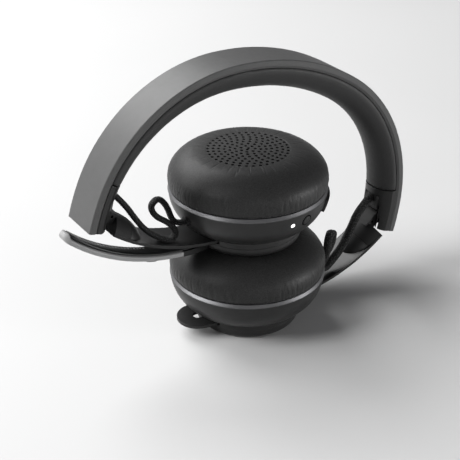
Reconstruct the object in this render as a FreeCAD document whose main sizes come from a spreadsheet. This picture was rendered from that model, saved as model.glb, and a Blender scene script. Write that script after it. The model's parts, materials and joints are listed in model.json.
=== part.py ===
import FreeCAD, Part
import math
import os
import Sketcher

# Office headset, folded: two on-ear cups lie one on the other and the headband stands over them.
# X runs along the headband's arch, Y across the band, Z up. The origin is on the cups' common
# axis, at the face that the lower cup rests on. Millimetres and degrees.

doc = FreeCAD.newDocument("office_headset")
sheet = doc.addObject("Spreadsheet::Sheet", "sizes")

DRIVING = {
    # the stack of two cups
    "stack_pitch": 38.57,
    "rim_radius": 32.5,
    "rim_height": 22.3,
    "cushion_radius": 33.0,
    "cushion_height": 38.2,
    "cushion_flat_radius": 17.0,
    "cushion_base": 23.0,
    "bowl_radius": 17.0,
    "bowl_bottom": 7.5,
    "hub_radius": 22.0,
    "cap_height": 4.1,
    "wall": 1.6,
    # the arms
    "plate_bottom": 5.4,
    "plate_thick": 1.2,
    "plate_width": 17.8,
    "plate_flat": 18.0,
    "plate_bend": 78.8,
    "plate_reach": 66.0,
    "plate_tail": 24.5,
    "eyelet_radius": 2.25,
    "tilt_height": 13.2,
    # the fold hinge and the slider
    "hinge_half_span": 71.1,
    "hinge_height": 30.0,
    "hinge_pin_radius": 1.2,
    "slider_travel": 10.0,
    # the headband
    "band_width": 18.0,
    "band_rise": 66.3,
    "band_depth": 12.7,
    "shell_depth": 3.3,
    "crown_bend": 100.0,
    "shoulder_bend": 67.0,
    "leg_bend": 98.0,
    # the boom
    "boom_width": 8.0,
    "boom_reach": 84.2,
    "boom_bend": 80.0,
    # the cords
    "cord_diameter": 3.4,
}

for row, (alias, number) in enumerate(DRIVING.items(), start=1):
    sheet.set("A%d" % row, alias)
    sheet.set("B%d" % row, str(number))
    sheet.setAlias("B%d" % row, alias)
doc.recompute()


class Size:
    """A length: its value, and the spreadsheet expression that gives it."""

    def __init__(self, value, text):
        self.value = value
        self.text = text

    def __add__(self, other):
        other = as_size(other)
        return Size(self.value + other.value, "(%s + %s)" % (self.text, other.text))

    def __sub__(self, other):
        other = as_size(other)
        return Size(self.value - other.value, "(%s - %s)" % (self.text, other.text))

    def __mul__(self, other):
        other = as_size(other)
        return Size(self.value * other.value, "(%s * %s)" % (self.text, other.text))

    def __truediv__(self, other):
        other = as_size(other)
        return Size(self.value / other.value, "(%s / %s)" % (self.text, other.text))

    def __neg__(self):
        return Size(-self.value, "(-1 * %s)" % self.text)

    def root(self):
        return Size(math.sqrt(self.value), "sqrt(%s)" % self.text)


def as_size(item):
    if isinstance(item, Size):
        return item
    return Size(float(item), repr(float(item)))


def cell(alias):
    return Size(float(sheet.get(alias)), "sizes." + alias)


def bind(thing, prop, size):
    size = as_size(size)
    setattr(thing, prop, size.value)
    thing.setExpression(prop, size.text)


def vec(x, y, z):
    return FreeCAD.Vector(x, y, z)


X_AXIS, Y_AXIS, Z_AXIS = vec(1, 0, 0), vec(0, 1, 0), vec(0, 0, 1)

PITCH = cell("stack_pitch")
WALL = cell("wall")
HALF_SPAN = cell("hinge_half_span")
PIN_HEIGHT = cell("hinge_height")

# ------------------------------------------------------------------ frames

# The left arm and cup are the right ones turned half round the cups' axis and raised by one pitch.
RIGHT = FreeCAD.Placement()
LEFT = FreeCAD.Placement(vec(0, 0, PITCH.value), FreeCAD.Rotation(Z_AXIS, 180))
SIDES = {"right": RIGHT, "left": LEFT}

# The band leans because one hinge is a pitch above the other. Its own frame has its origin
# midway between the two hinge pins, x towards the right pin and z towards the crown.
TILT = math.degrees(math.asin(PITCH.value / (2 * HALF_SPAN.value)))
BAND = FreeCAD.Placement(vec(0, 0, PIN_HEIGHT.value + PITCH.value / 2), FreeCAD.Rotation(Y_AXIS, TILT))
PIN_REACH = HALF_SPAN.value * math.cos(math.radians(TILT))

parts = []


def keep(thing, name):
    """Take an object as a finished sub-part under its own name."""
    thing.Label = name
    parts.append(thing)
    return thing


# ------------------------------------------------------------------ building helpers

def origin_plane(body, role):
    for feature in body.Origin.OriginFeatures:
        if feature.Role == role:
            return feature


def tie_point(sketch, geo, point, x, y):
    """Hold one point of a sketch at (x, y)."""
    for axis, kind, size in ((-2, "DistanceX", x), (-1, "DistanceY", y)):
        if as_size(size).value == 0 and not isinstance(size, Size):
            sketch.addConstraint(Sketcher.Constraint("PointOnObject", geo, point, axis))
            continue
        size = as_size(size)
        number = sketch.addConstraint(Sketcher.Constraint(kind, -1, 1, geo, point, size.value))
        sketch.setExpression("Constraints[%d]" % number, size.text)


def arc_centre(a, b, radius, bend):
    """Centre of the arc from a to b; bend is 1 when the centre lies to the left of the way."""
    mid = (a + b) * 0.5
    way = b - a
    half = way.Length / 2
    left = vec(-way.y, way.x, 0) * (1 / way.Length)
    return mid + left * (bend * math.sqrt(radius * radius - half * half))


def draw_outline(sketch, path):
    """Draw a closed outline. A path item is (x, y), or (x, y, radius, bend) for an arc to it."""
    corners = [vec(as_size(p[0]).value, as_size(p[1]).value, 0) for p in path]
    ends = []
    for i, item in enumerate(path):
        a, b = corners[i - 1], corners[i]
        if len(item) == 2:
            geo = sketch.addGeometry(Part.LineSegment(a, b), False)
            ends.append((geo, 1, 2))
            continue
        radius, bend = as_size(item[2]), item[3]
        centre = arc_centre(a, b, radius.value, bend)
        first, last = (a, b) if bend > 0 else (b, a)
        start = math.atan2(first.y - centre.y, first.x - centre.x)
        stop = math.atan2(last.y - centre.y, last.x - centre.x)
        if stop < start:
            stop += 2 * math.pi
        circle = Part.Circle(centre, Z_AXIS, radius.value)
        geo = sketch.addGeometry(Part.ArcOfCircle(circle, start, stop), False)
        number = sketch.addConstraint(Sketcher.Constraint("Radius", geo, radius.value))
        sketch.setExpression("Constraints[%d]" % number, radius.text)
        ends.append((geo, 1, 2) if bend > 0 else (geo, 2, 1))
    for i, item in enumerate(path):
        geo, start, stop = ends[i]
        following = ends[(i + 1) % len(path)]
        sketch.addConstraint(Sketcher.Constraint("Coincident", geo, stop, following[0], following[1]))
        tie_point(sketch, geo, stop, item[0], item[1])


def new_sketch(body, name, role, offset=0.0):
    sketch = body.newObject("Sketcher::SketchObject", name)
    sketch.AttachmentSupport = [(origin_plane(body, role), "")]
    sketch.MapMode = "FlatFace"
    sketch.AttachmentOffset = FreeCAD.Placement(vec(0, 0, offset), FreeCAD.Rotation())
    return sketch


def new_body(name, placement=None):
    body = doc.addObject("PartDesign::Body", name)
    if placement:
        body.Placement = placement
    return body


def turned(name, path, placement=None):
    """A body of revolution about Z from an outline in the XZ plane."""
    body = new_body(name, placement)
    sketch = new_sketch(body, name + "_outline", "XZ_Plane")
    draw_outline(sketch, path)
    feature = body.newObject("PartDesign::Revolution", name + "_turn")
    feature.Profile = sketch
    feature.ReferenceAxis = (sketch, ["V_Axis"])
    feature.Angle = 360
    return body


def slab(name, path, width, placement=None, role="XZ_Plane"):
    """An outline in one of the origin planes, padded to both sides by half the width."""
    body = new_body(name, placement)
    sketch = new_sketch(body, name + "_outline", role)
    draw_outline(sketch, path)
    feature = body.newObject("PartDesign::Pad", name + "_pad")
    feature.Profile = sketch
    feature.Midplane = True
    bind(feature, "Length", width)
    return body


def box(name, low, high, placement=None):
    """A box between two corners, given as sizes in its own frame."""
    low = [as_size(v) for v in low]
    high = [as_size(v) for v in high]
    thing = doc.addObject("Part::Box", name)
    for prop, a, b in zip(("Length", "Width", "Height"), low, high):
        bind(thing, prop, b - a)
    base = FreeCAD.Placement(vec(*[v.value for v in low]), FreeCAD.Rotation())
    thing.Placement = (placement or FreeCAD.Placement()).multiply(base)
    return thing


def rod(name, radius, start, way, length, placement=None):
    """A cylinder from a start point along a way."""
    thing = doc.addObject("Part::Cylinder", name)
    bind(thing, "Radius", radius)
    bind(thing, "Height", length)
    base = FreeCAD.Placement(start, FreeCAD.Rotation(Z_AXIS, way))
    thing.Placement = (placement or FreeCAD.Placement()).multiply(base)
    return thing


def cut(name, base, *tools):
    """The base with the tools taken away."""
    tool = tools[0]
    if len(tools) > 1:
        tool = doc.addObject("Part::MultiFuse", name + "_tools")
        tool.Shapes = list(tools)
    thing = doc.addObject("Part::Cut", name)
    thing.Base = base
    thing.Tool = tool
    return thing


def common(name, *pieces):
    thing = doc.addObject("Part::MultiCommon", name)
    thing.Shapes = list(pieces)
    return thing


def fuse(name, *pieces):
    thing = doc.addObject("Part::MultiFuse", name)
    thing.Shapes = list(pieces)
    return thing


def group(name, pieces):
    """Separate solids kept as one sub-part."""
    thing = doc.addObject("Part::Compound", name)
    thing.Links = list(pieces)
    return thing


def shaped(name, shape, placement=None):
    thing = doc.addObject("Part::Feature", name)
    thing.Shape = shape
    if placement:
        thing.Placement = placement
    return thing


# ------------------------------------------------------------------ headband

CROWN_BEND = cell("crown_bend").value
SHOULDER_BEND = cell("shoulder_bend").value
LEG_BEND = cell("leg_bend").value
BAND_RISE = cell("band_rise").value
BAND_HALF = cell("band_width").value / 2
BAND_DEPTH = cell("band_depth").value
SHELL_DEPTH = cell("shell_depth").value
BAND_END = -6.4
CROWN_ANGLE = 17.0
SEAM_ANGLE = 76.3

CROWN_CENTRE = vec(0, 0, BAND_RISE - CROWN_BEND)


def from_crown(angle, length):
    """A vector of one length at an angle from +Z towards +X."""
    return vec(length * math.sin(math.radians(angle)), 0, length * math.cos(math.radians(angle)))


SHOULDER_CENTRE = CROWN_CENTRE + from_crown(CROWN_ANGLE, CROWN_BEND - SHOULDER_BEND)
SHOULDER_ANGLE = math.degrees(math.acos((SHOULDER_CENTRE.z - BAND_END) / (LEG_BEND - SHOULDER_BEND)))
LEG_CENTRE = SHOULDER_CENTRE + from_crown(SHOULDER_ANGLE, SHOULDER_BEND - LEG_BEND)
ARCS = (
    (CROWN_CENTRE, CROWN_BEND, 0.0, CROWN_ANGLE),
    (SHOULDER_CENTRE, SHOULDER_BEND, CROWN_ANGLE, SHOULDER_ANGLE),
    (LEG_CENTRE, LEG_BEND, SHOULDER_ANGLE, 90.0),
)


def section_face(edges, centre, radius, angle):
    """A section of the band, drawn as (y, depth) edges, set at one angle of an arc."""
    placed = []
    for edge in edges:
        points = []
        for y, depth in edge:
            spot = centre + from_crown(angle, radius - depth)
            points.append(vec(spot.x, y, spot.z))
        if len(points) == 2:
            placed.append(Part.LineSegment(*points).toShape())
        else:
            placed.append(Part.Arc(*points).toShape())
    return Part.Face(Part.Wire(placed))


def along_band(edges, first, last):
    """The section carried along the right half of the arch between two angles."""
    solid = None
    for centre, radius, start, stop in ARCS:
        a, b = max(first, start), min(last, stop)
        if b - a < 1e-6:
            continue
        face = section_face(edges, centre, radius, a)
        piece = face.revolve(centre, Y_AXIS, b - a)
        solid = piece if solid is None else solid.fuse(piece)
    return solid.removeSplitter()


def both_halves(solid):
    return solid.fuse(solid.mirror(vec(0, 0, 0), X_AXIS)).removeSplitter()


def closed_lines(points):
    return [(points[i - 1], points[i]) for i in range(len(points))]


def dome_section(half, base, shoulder, crest):
    """A flat base, short sides and a round crest."""
    return [
        ((-half, shoulder), (-half, base)),
        ((-half, base), (half, base)),
        ((half, base), (half, shoulder)),
        ((half, shoulder), (0.0, crest), (-half, shoulder)),
    ]


DEPTH_LOSS = 2.8
SECTION_STEP = 9.0


def soft_depth(angle):
    """The band's full depth, which shrinks from the crown to its ends."""
    return BAND_DEPTH - DEPTH_LOSS * (angle / 90.0) ** 1.5


def tapered(section_at, first, last):
    """A solid lofted through sections of the band that change with the angle."""
    count = max(3, round((last - first) / SECTION_STEP) + 1)
    wires = []
    for i in range(count):
        angle = first + (last - first) * i / (count - 1)
        centre, radius = next((arc[0], arc[1]) for arc in ARCS if angle <= arc[3] + 1e-9)
        wires.append(section_face(section_at(angle), centre, radius, angle).OuterWire)
    return Part.makeLoft(wires, True, False)


CHANNEL_WALL = 1.5
SHELL_SECTION = closed_lines([
    (-BAND_HALF + 0.35, 0.0), (-BAND_HALF, 0.35), (-BAND_HALF, 2.3), (-BAND_HALF + 0.6, SHELL_DEPTH),
    (-BAND_HALF + CHANNEL_WALL, SHELL_DEPTH), (-BAND_HALF + CHANNEL_WALL, CHANNEL_WALL),
    (BAND_HALF - CHANNEL_WALL, CHANNEL_WALL), (BAND_HALF - CHANNEL_WALL, SHELL_DEPTH),
    (BAND_HALF - 0.6, SHELL_DEPTH), (BAND_HALF, 2.3), (BAND_HALF, 0.35), (BAND_HALF - 0.35, 0.0),
])
keep(shaped("band_outer_shell", both_halves(along_band(SHELL_SECTION, 0, 90)), BAND), "band_outer_shell")

STRIP_SECTION = closed_lines([(-6.0, 1.6), (-6.0, 2.3), (6.0, 2.3), (6.0, 1.6)])
keep(shaped("band_spring_strip", both_halves(along_band(STRIP_SECTION, 0, 64)), BAND), "band_spring_strip")

LEAD_SECTION = closed_lines([(-2.0, 2.4), (-2.0, 3.2), (2.0, 3.2), (2.0, 2.4)])
keep(shaped("band_ribbon_lead", both_halves(along_band(LEAD_SECTION, 0, 80)), BAND), "band_ribbon_lead")

# The slider's tongue is a straight blade, and runs in a slot through the pad and the end cover.
TONGUE_INNER = 67.6
TONGUE_THICK = 1.2
TONGUE_HALF = 5.0
TONGUE_TOP = 11.0 + cell("slider_travel").value
SLOT_GAP = 0.3


def tongue_slot(name, sign):
    near, far = TONGUE_INNER - SLOT_GAP, TONGUE_INNER + TONGUE_THICK + SLOT_GAP
    low_x, high_x = sorted((sign * near, sign * far))
    return box(name, (low_x, -TONGUE_HALF - SLOT_GAP, BAND_END - 1),
               (high_x, TONGUE_HALF + SLOT_GAP, TONGUE_TOP + 1.0), BAND)


def pad_section(angle):
    return dome_section(BAND_HALF - 0.4, SHELL_DEPTH + 0.05, 5.2, soft_depth(angle))


pad_solid = shaped("band_pad_blank", both_halves(tapered(pad_section, 0.0, SEAM_ANGLE - 0.15)), BAND)
pad_slots = [tongue_slot("pad_slot_right", 1), tongue_slot("pad_slot_left", -1)]
keep(cut("band_pad", pad_solid, *pad_slots), "band_pad")

COVER_WALL = 1.4


def cover_section(angle):
    return dome_section(BAND_HALF - 0.3, SHELL_DEPTH + 0.05, 5.3, soft_depth(angle) + 0.1)


def cover_hollow(angle):
    half, crest = BAND_HALF - 0.3 - COVER_WALL, soft_depth(angle) + 0.1 - COVER_WALL
    return dome_section(half, SHELL_DEPTH - 1.0, 4.8, crest)


cover_solid = tapered(cover_section, SEAM_ANGLE, 90.0).cut(tapered(cover_hollow, SEAM_ANGLE + 1.2, 90.0))
LUG_HALF = 4.0
CORD_EXIT_HEIGHT = 8.6
SWING_RADIUS = 6.6
EAR_RADIUS = 2.2
EAR_INNER, EAR_OUTER = 4.2, 5.9
EAR_CLEAR = HALF_SPAN.value - EAR_RADIUS - 0.3


def span(sign, right, left, y, z):
    """A corner of a box on either side: mirrored, the two x limits change places."""
    return (sign * (right if sign > 0 else left), y, z)


for side, sign in (("right", 1), ("left", -1)):
    blank = cover_solid if sign > 0 else cover_solid.mirror(vec(0, 0, 0), X_AXIS)
    cover = shaped("end_cover_blank_" + side, blank, BAND)
    # a gate for the arm's lug and the cord, and a round end that the arm's housing swings past
    gate = box("lug_gate_" + side, span(sign, 60, 74.5, -LUG_HALF - 0.7, BAND_END - 1),
               span(sign, 74.5, 60, LUG_HALF + 0.7, CORD_EXIT_HEIGHT), BAND)
    corner = box("swing_corner_" + side, span(sign, 60, HALF_SPAN.value, -BAND_HALF, BAND_END - 1),
                 span(sign, HALF_SPAN.value, 60, BAND_HALF, -1.0), BAND)
    knuckle = rod("swing_knuckle_" + side, SWING_RADIUS, vec(sign * HALF_SPAN.value, -BAND_HALF - 1, 0),
                  Y_AXIS, 2 * BAND_HALF + 2, BAND)
    # room inside for the slider's ears
    relief = box("ear_relief_" + side, span(sign, EAR_CLEAR, 74, -EAR_OUTER - 0.3, BAND_END - 1),
                 span(sign, 74, EAR_CLEAR, EAR_OUTER + 0.3, 7.5), BAND)
    keep(cut("end_cover_" + side, cover, gate, cut("swing_step_" + side, corner, knuckle), relief,
             tongue_slot("cover_slot_" + side, sign)), "end_cover_" + side)

# ------------------------------------------------------------------ sliders and hinge pins

BRIDGE_LOW, BRIDGE_HIGH = 4.2, 7.2
PIN_RADIUS = cell("hinge_pin_radius")

for side, sign in (("right", 1), ("left", -1)):
    pin_x = sign * HALF_SPAN.value

    def across(a, b):
        return min(sign * a, sign * b), max(sign * a, sign * b)

    tongue_x = across(TONGUE_INNER, TONGUE_INNER + TONGUE_THICK)
    tongue = box("tongue_" + side, (tongue_x[0], -TONGUE_HALF, BRIDGE_LOW),
                 (tongue_x[1], TONGUE_HALF, TONGUE_TOP), BAND)
    bridge_x = across(TONGUE_INNER, HALF_SPAN.value)
    bridge = box("bridge_" + side, (bridge_x[0], -TONGUE_HALF, BRIDGE_LOW),
                 (bridge_x[1], TONGUE_HALF, BRIDGE_HIGH), BAND)
    yoke_x = across(HALF_SPAN.value - EAR_RADIUS, HALF_SPAN.value + EAR_RADIUS)
    yoke = box("yoke_" + side, (yoke_x[0], -EAR_OUTER, BRIDGE_LOW),
               (yoke_x[1], EAR_OUTER, BRIDGE_HIGH), BAND)
    pieces = [tongue, bridge, yoke]
    for end, y in (("near", -EAR_OUTER), ("far", EAR_INNER)):
        ear_x = across(HALF_SPAN.value - EAR_RADIUS, HALF_SPAN.value + EAR_RADIUS)
        pieces.append(box("ear_%s_%s" % (end, side), (ear_x[0], y, 0),
                          (ear_x[1], y + EAR_OUTER - EAR_INNER, BRIDGE_LOW + 0.5), BAND))
        pieces.append(rod("ear_round_%s_%s" % (end, side), EAR_RADIUS, vec(pin_x, y, 0), Y_AXIS,
                          EAR_OUTER - EAR_INNER, BAND))
    ear_bore = rod("ear_bore_" + side, PIN_RADIUS, vec(pin_x, -BAND_HALF, 0), Y_AXIS, 2 * BAND_HALF, BAND)
    keep(cut("slider_" + side, fuse("slider_blank_" + side, *pieces), ear_bore), "slider_" + side)
    keep(rod("hinge_pin_" + side, PIN_RADIUS, vec(pin_x, -EAR_OUTER, 0), Y_AXIS, 2 * EAR_OUTER, BAND),
         "hinge_pin_" + side)

# ------------------------------------------------------------------ arms

PLATE_LOW = cell("plate_bottom")
PLATE_THICK = cell("plate_thick")
PLATE_HIGH = PLATE_LOW + PLATE_THICK
PLATE_WIDTH = cell("plate_width")
PLATE_FLAT = cell("plate_flat")
PLATE_BEND = cell("plate_bend")
PLATE_REACH = cell("plate_reach")
PLATE_TAIL = cell("plate_tail")
TILT_HEIGHT = cell("tilt_height")
EYELET_RADIUS = cell("eyelet_radius")

END_SLOPE = math.asin((PLATE_REACH - PLATE_FLAT).value / PLATE_BEND.value)


def plate_height(radius):
    """Height at the plate's far end of a surface bent to a radius, above that surface's flat."""
    reach = (PLATE_REACH - PLATE_FLAT) * radius / PLATE_BEND
    return radius - (radius * radius - reach * reach).root()


def plate_path(low, high, tail):
    """The plate's side outline between two levels: flat, then bent up to the hinge end."""
    outer = PLATE_BEND + PLATE_LOW - low
    inner = PLATE_BEND + PLATE_LOW - high
    return [
        (-tail, low),
        (PLATE_FLAT, low),
        (PLATE_FLAT + (PLATE_REACH - PLATE_FLAT) * outer / PLATE_BEND, low + plate_height(outer), outer, 1),
        (PLATE_FLAT + (PLATE_REACH - PLATE_FLAT) * inner / PLATE_BEND, high + plate_height(inner)),
        (PLATE_FLAT, high, inner, -1),
        (-tail, high),
    ]


# the plate's far end: on its outer face, and the way that it points
END_POINT = vec(PLATE_REACH.value, 0, (PLATE_LOW + plate_height(PLATE_BEND)).value)
END_FRAME = FreeCAD.Placement(END_POINT, FreeCAD.Rotation(Y_AXIS, -math.degrees(END_SLOPE)))
PIN_IN_END = END_FRAME.inverse().multVec(vec(PIN_REACH, 0, PIN_HEIGHT.value))

HALF_WIDTH = PLATE_WIDTH / 2
HOUSING_RADIUS = 9.3
HOUSING_SINK = 1.9
BLOCK_LENGTH = 8.0
NOSE_START = -4.0
NOSE_LENGTH = 15.0
HOUSING_WALL = 1.4
LUG_RADIUS = 2.3
RUNNING_GAP = 0.05
TILT_PIN_RADIUS = 1.0
RIVET_RADIUS, RIVET_HEAD_RADIUS, RIVET_HEAD_THICK = 1.5, 3.0, 0.15


def housing_solid(radius, start, nose):
    """The arm housing's full form about its own axis: a short drum, then half an egg."""
    egg = Part.Ellipse(vec(start, 0, 0), nose, radius)
    tip = vec(start - nose, 0, 0)
    edges = [
        Part.ArcOfEllipse(egg, math.pi / 2, math.pi).toShape(),
        Part.makeLine(tip, vec(0, 0, 0)),
        Part.makeLine(vec(0, 0, 0), vec(0, radius, 0)),
        Part.makeLine(vec(0, radius, 0), vec(start, radius, 0)),
    ]
    face = Part.Face(Part.Wire(Part.__sortEdges__(edges)))
    solid = face.revolve(vec(0, 0, 0), X_AXIS, 360)
    solid.translate(vec(0, 0, -HOUSING_SINK))
    return solid


for side, place in SIDES.items():
    # the plate: one bent strip that runs on under the cup to a round tail with an eyelet
    bent = slab("plate_bent_" + side, plate_path(PLATE_LOW, PLATE_HIGH, PLATE_TAIL + HALF_WIDTH),
                PLATE_WIDTH, place)
    plan = slab("plate_plan_" + side, [
        (-PLATE_TAIL - HALF_WIDTH, 0, HALF_WIDTH, 1),
        (-PLATE_TAIL, -HALF_WIDTH, HALF_WIDTH, 1),
        (PLATE_REACH + 3, -HALF_WIDTH),
        (PLATE_REACH + 3, HALF_WIDTH),
        (-PLATE_TAIL, HALF_WIDTH),
    ], 120, place, "XY_Plane")
    outline = common("plate_outline_" + side, bent, plan)
    eyelet = rod("plate_eyelet_" + side, EYELET_RADIUS, vec(-PLATE_TAIL.value, 0, 0), Z_AXIS, 20, place)
    rivet_seat = rod("rivet_seat_" + side, RIVET_RADIUS, vec(0, 0, 0), Z_AXIS, 20, place)
    keep(cut("arm_plate_" + side, outline, eyelet, rivet_seat), "arm_plate_" + side)

    # what lies above the plate's inner face
    above = slab("above_plate_" + side, plate_path(PLATE_HIGH, PLATE_HIGH + 16, PLATE_TAIL), 30, place)
    end_frame = place.multiply(END_FRAME)

    # the arm cover: a thin dome with a round nose
    outer = housing_solid(HOUSING_RADIUS, NOSE_START, NOSE_LENGTH)
    inner = housing_solid(HOUSING_RADIUS - HOUSING_WALL, NOSE_START, NOSE_LENGTH - HOUSING_WALL)
    past_joint = Part.makeBox(40, 40, 40, vec(-40 - BLOCK_LENGTH - 0.1, -20, -20))
    dome = shaped("arm_dome_" + side, outer.cut(inner).common(past_joint), end_frame)
    keep(common("arm_cover_" + side, dome, above), "arm_cover_" + side)

    # the hinge block: the housing's end, with a lug that reaches out to the hinge pin
    before_joint = Part.makeBox(BLOCK_LENGTH, 40, 40, vec(-BLOCK_LENGTH, -20, -20))
    drum = shaped("block_drum_" + side, outer.common(before_joint), end_frame)
    block = common("block_half_" + side, drum, above)
    lug_bar = box("lug_bar_" + side, (-2.0, -LUG_HALF, PIN_IN_END.z - LUG_RADIUS),
                  (PIN_IN_END.x, LUG_HALF, PIN_IN_END.z + LUG_RADIUS), end_frame)
    lug_eye = rod("lug_eye_" + side, LUG_RADIUS, vec(PIN_IN_END.x, -LUG_HALF, PIN_IN_END.z), Y_AXIS,
                  2 * LUG_HALF, end_frame)
    lug_bore = rod("lug_bore_" + side, PIN_RADIUS + RUNNING_GAP, vec(PIN_IN_END.x, -BAND_HALF, PIN_IN_END.z),
                   Y_AXIS, 2 * BAND_HALF, end_frame)
    lug_hole = rod("lug_hole_" + side, 0.6, vec(1.6, -BAND_HALF, PIN_IN_END.z + 0.7), Y_AXIS,
                   2 * BAND_HALF, end_frame)
    blank = fuse("block_blank_" + side, block, lug_bar, lug_eye)
    keep(cut("hinge_block_" + side, blank, lug_bore, lug_hole), "hinge_block_" + side)

    # the saddle that the cup rocks on, and the rivet that holds it down
    saddle = box("saddle_blank_" + side, (-4.5, -4.0, PLATE_HIGH), (4.5, 4.0, TILT_HEIGHT + 2.2), place)
    saddle_bore = rod("saddle_bore_" + side, TILT_PIN_RADIUS + RUNNING_GAP, vec(-10, 0, TILT_HEIGHT.value),
                      X_AXIS, 20, place)
    keep(cut("rocker_saddle_" + side, saddle, saddle_bore), "rocker_saddle_" + side)
    rivet_shank = rod("rivet_shank_" + side, RIVET_RADIUS, vec(0, 0, PLATE_LOW.value), Z_AXIS, PLATE_THICK,
                      place)
    rivet_head = rod("rivet_head_" + side, RIVET_HEAD_RADIUS, vec(0, 0, PLATE_LOW.value - RIVET_HEAD_THICK),
                     Z_AXIS, RIVET_HEAD_THICK, place)
    keep(fuse("saddle_rivet_" + side, rivet_shank, rivet_head), "saddle_rivet_" + side)

# ------------------------------------------------------------------ cups

HUB_RADIUS = cell("hub_radius")
CAP_HEIGHT = cell("cap_height")
RIM_RADIUS = cell("rim_radius")
RIM_HEIGHT = cell("rim_height")
BOWL_RADIUS = cell("bowl_radius")
BOWL_BOTTOM = cell("bowl_bottom")
BOWL_TOP = RIM_HEIGHT - 0.8
CUSHION_RADIUS = cell("cushion_radius")
CUSHION_HEIGHT = cell("cushion_height")
CUSHION_BASE = cell("cushion_base")
FLAT_RADIUS = cell("cushion_flat_radius")
FLOOR_TOP = BOWL_BOTTOM + 3.1
FLOOR_UNDER = BOWL_BOTTOM + 1.5
CHANNEL_HALF = 9.6
CAP_FILLET = 3.0
SPINDLE_RADIUS = 4.0
WEB_HIGH = 4.75
SCRIM_THICK = 1.4


def bowl_edge(height, offset=0.0):
    """Radius of the bowl's wall at a height, moved outward by an offset."""
    radius = BOWL_RADIUS + offset
    drop = RIM_HEIGHT - height
    return RIM_RADIUS - BOWL_RADIUS + (radius * radius - drop * drop).root()


def bowl_frame(side, angle, height):
    """A frame on the bowl: z out along its normal, x round the cup, y up the wall."""
    edge = bowl_edge(as_size(height)).value
    round_angle = math.radians(angle)
    rise = (height - RIM_HEIGHT.value) / BOWL_RADIUS.value
    flat = math.sqrt(1 - rise * rise)
    normal = vec(flat * math.cos(round_angle), flat * math.sin(round_angle), rise)
    around = vec(-math.sin(round_angle), math.cos(round_angle), 0)
    lift = PITCH.value if side == "left" else 0.0
    spot = vec(edge * math.cos(round_angle), edge * math.sin(round_angle), height + lift)
    return FreeCAD.Placement(spot, FreeCAD.Rotation(around, normal.cross(around), normal, "ZXY"))


GLAND_HEIGHT = 15.7
GLAND_SIDE = -3.0
GLAND_RADIUS = 2.1
GLAND_INNER, GLAND_OUTER = 27.5, 31.8
POWER_ANGLE, POWER_HEIGHT = -77.0, 17.7
LED_ANGLE, LED_HEIGHT = -90.0, 17.6
ROCKER_ANGLE, ROCKER_HEIGHT = -38.0, 17.2
SOCKET_ANGLE, SOCKET_HEIGHT = 95.0, 15.0
POWER_RADIUS = 2.3
ROCKER_LENGTH, ROCKER_WIDTH = 13.0, 5.4
AXLE_RADIUS, AXLE_DEPTH = 0.5, 1.0


def obround(name, half_length, radius, length, frame):
    """A bar with an obround section, half inside and half outside the frame's origin."""
    body = new_body(name, frame)
    sketch = new_sketch(body, name + "_outline", "XY_Plane")
    draw_outline(sketch, [
        (half_length, -radius),
        (half_length + radius, 0, as_size(radius), 1),
        (half_length, radius, as_size(radius), 1),
        (-half_length, radius),
        (-half_length - radius, 0, as_size(radius), 1),
        (-half_length, -radius, as_size(radius), 1),
    ])
    feature = body.newObject("PartDesign::Pad", name + "_pad")
    feature.Profile = sketch
    feature.Midplane = True
    bind(feature, "Length", length)
    return body


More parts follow.
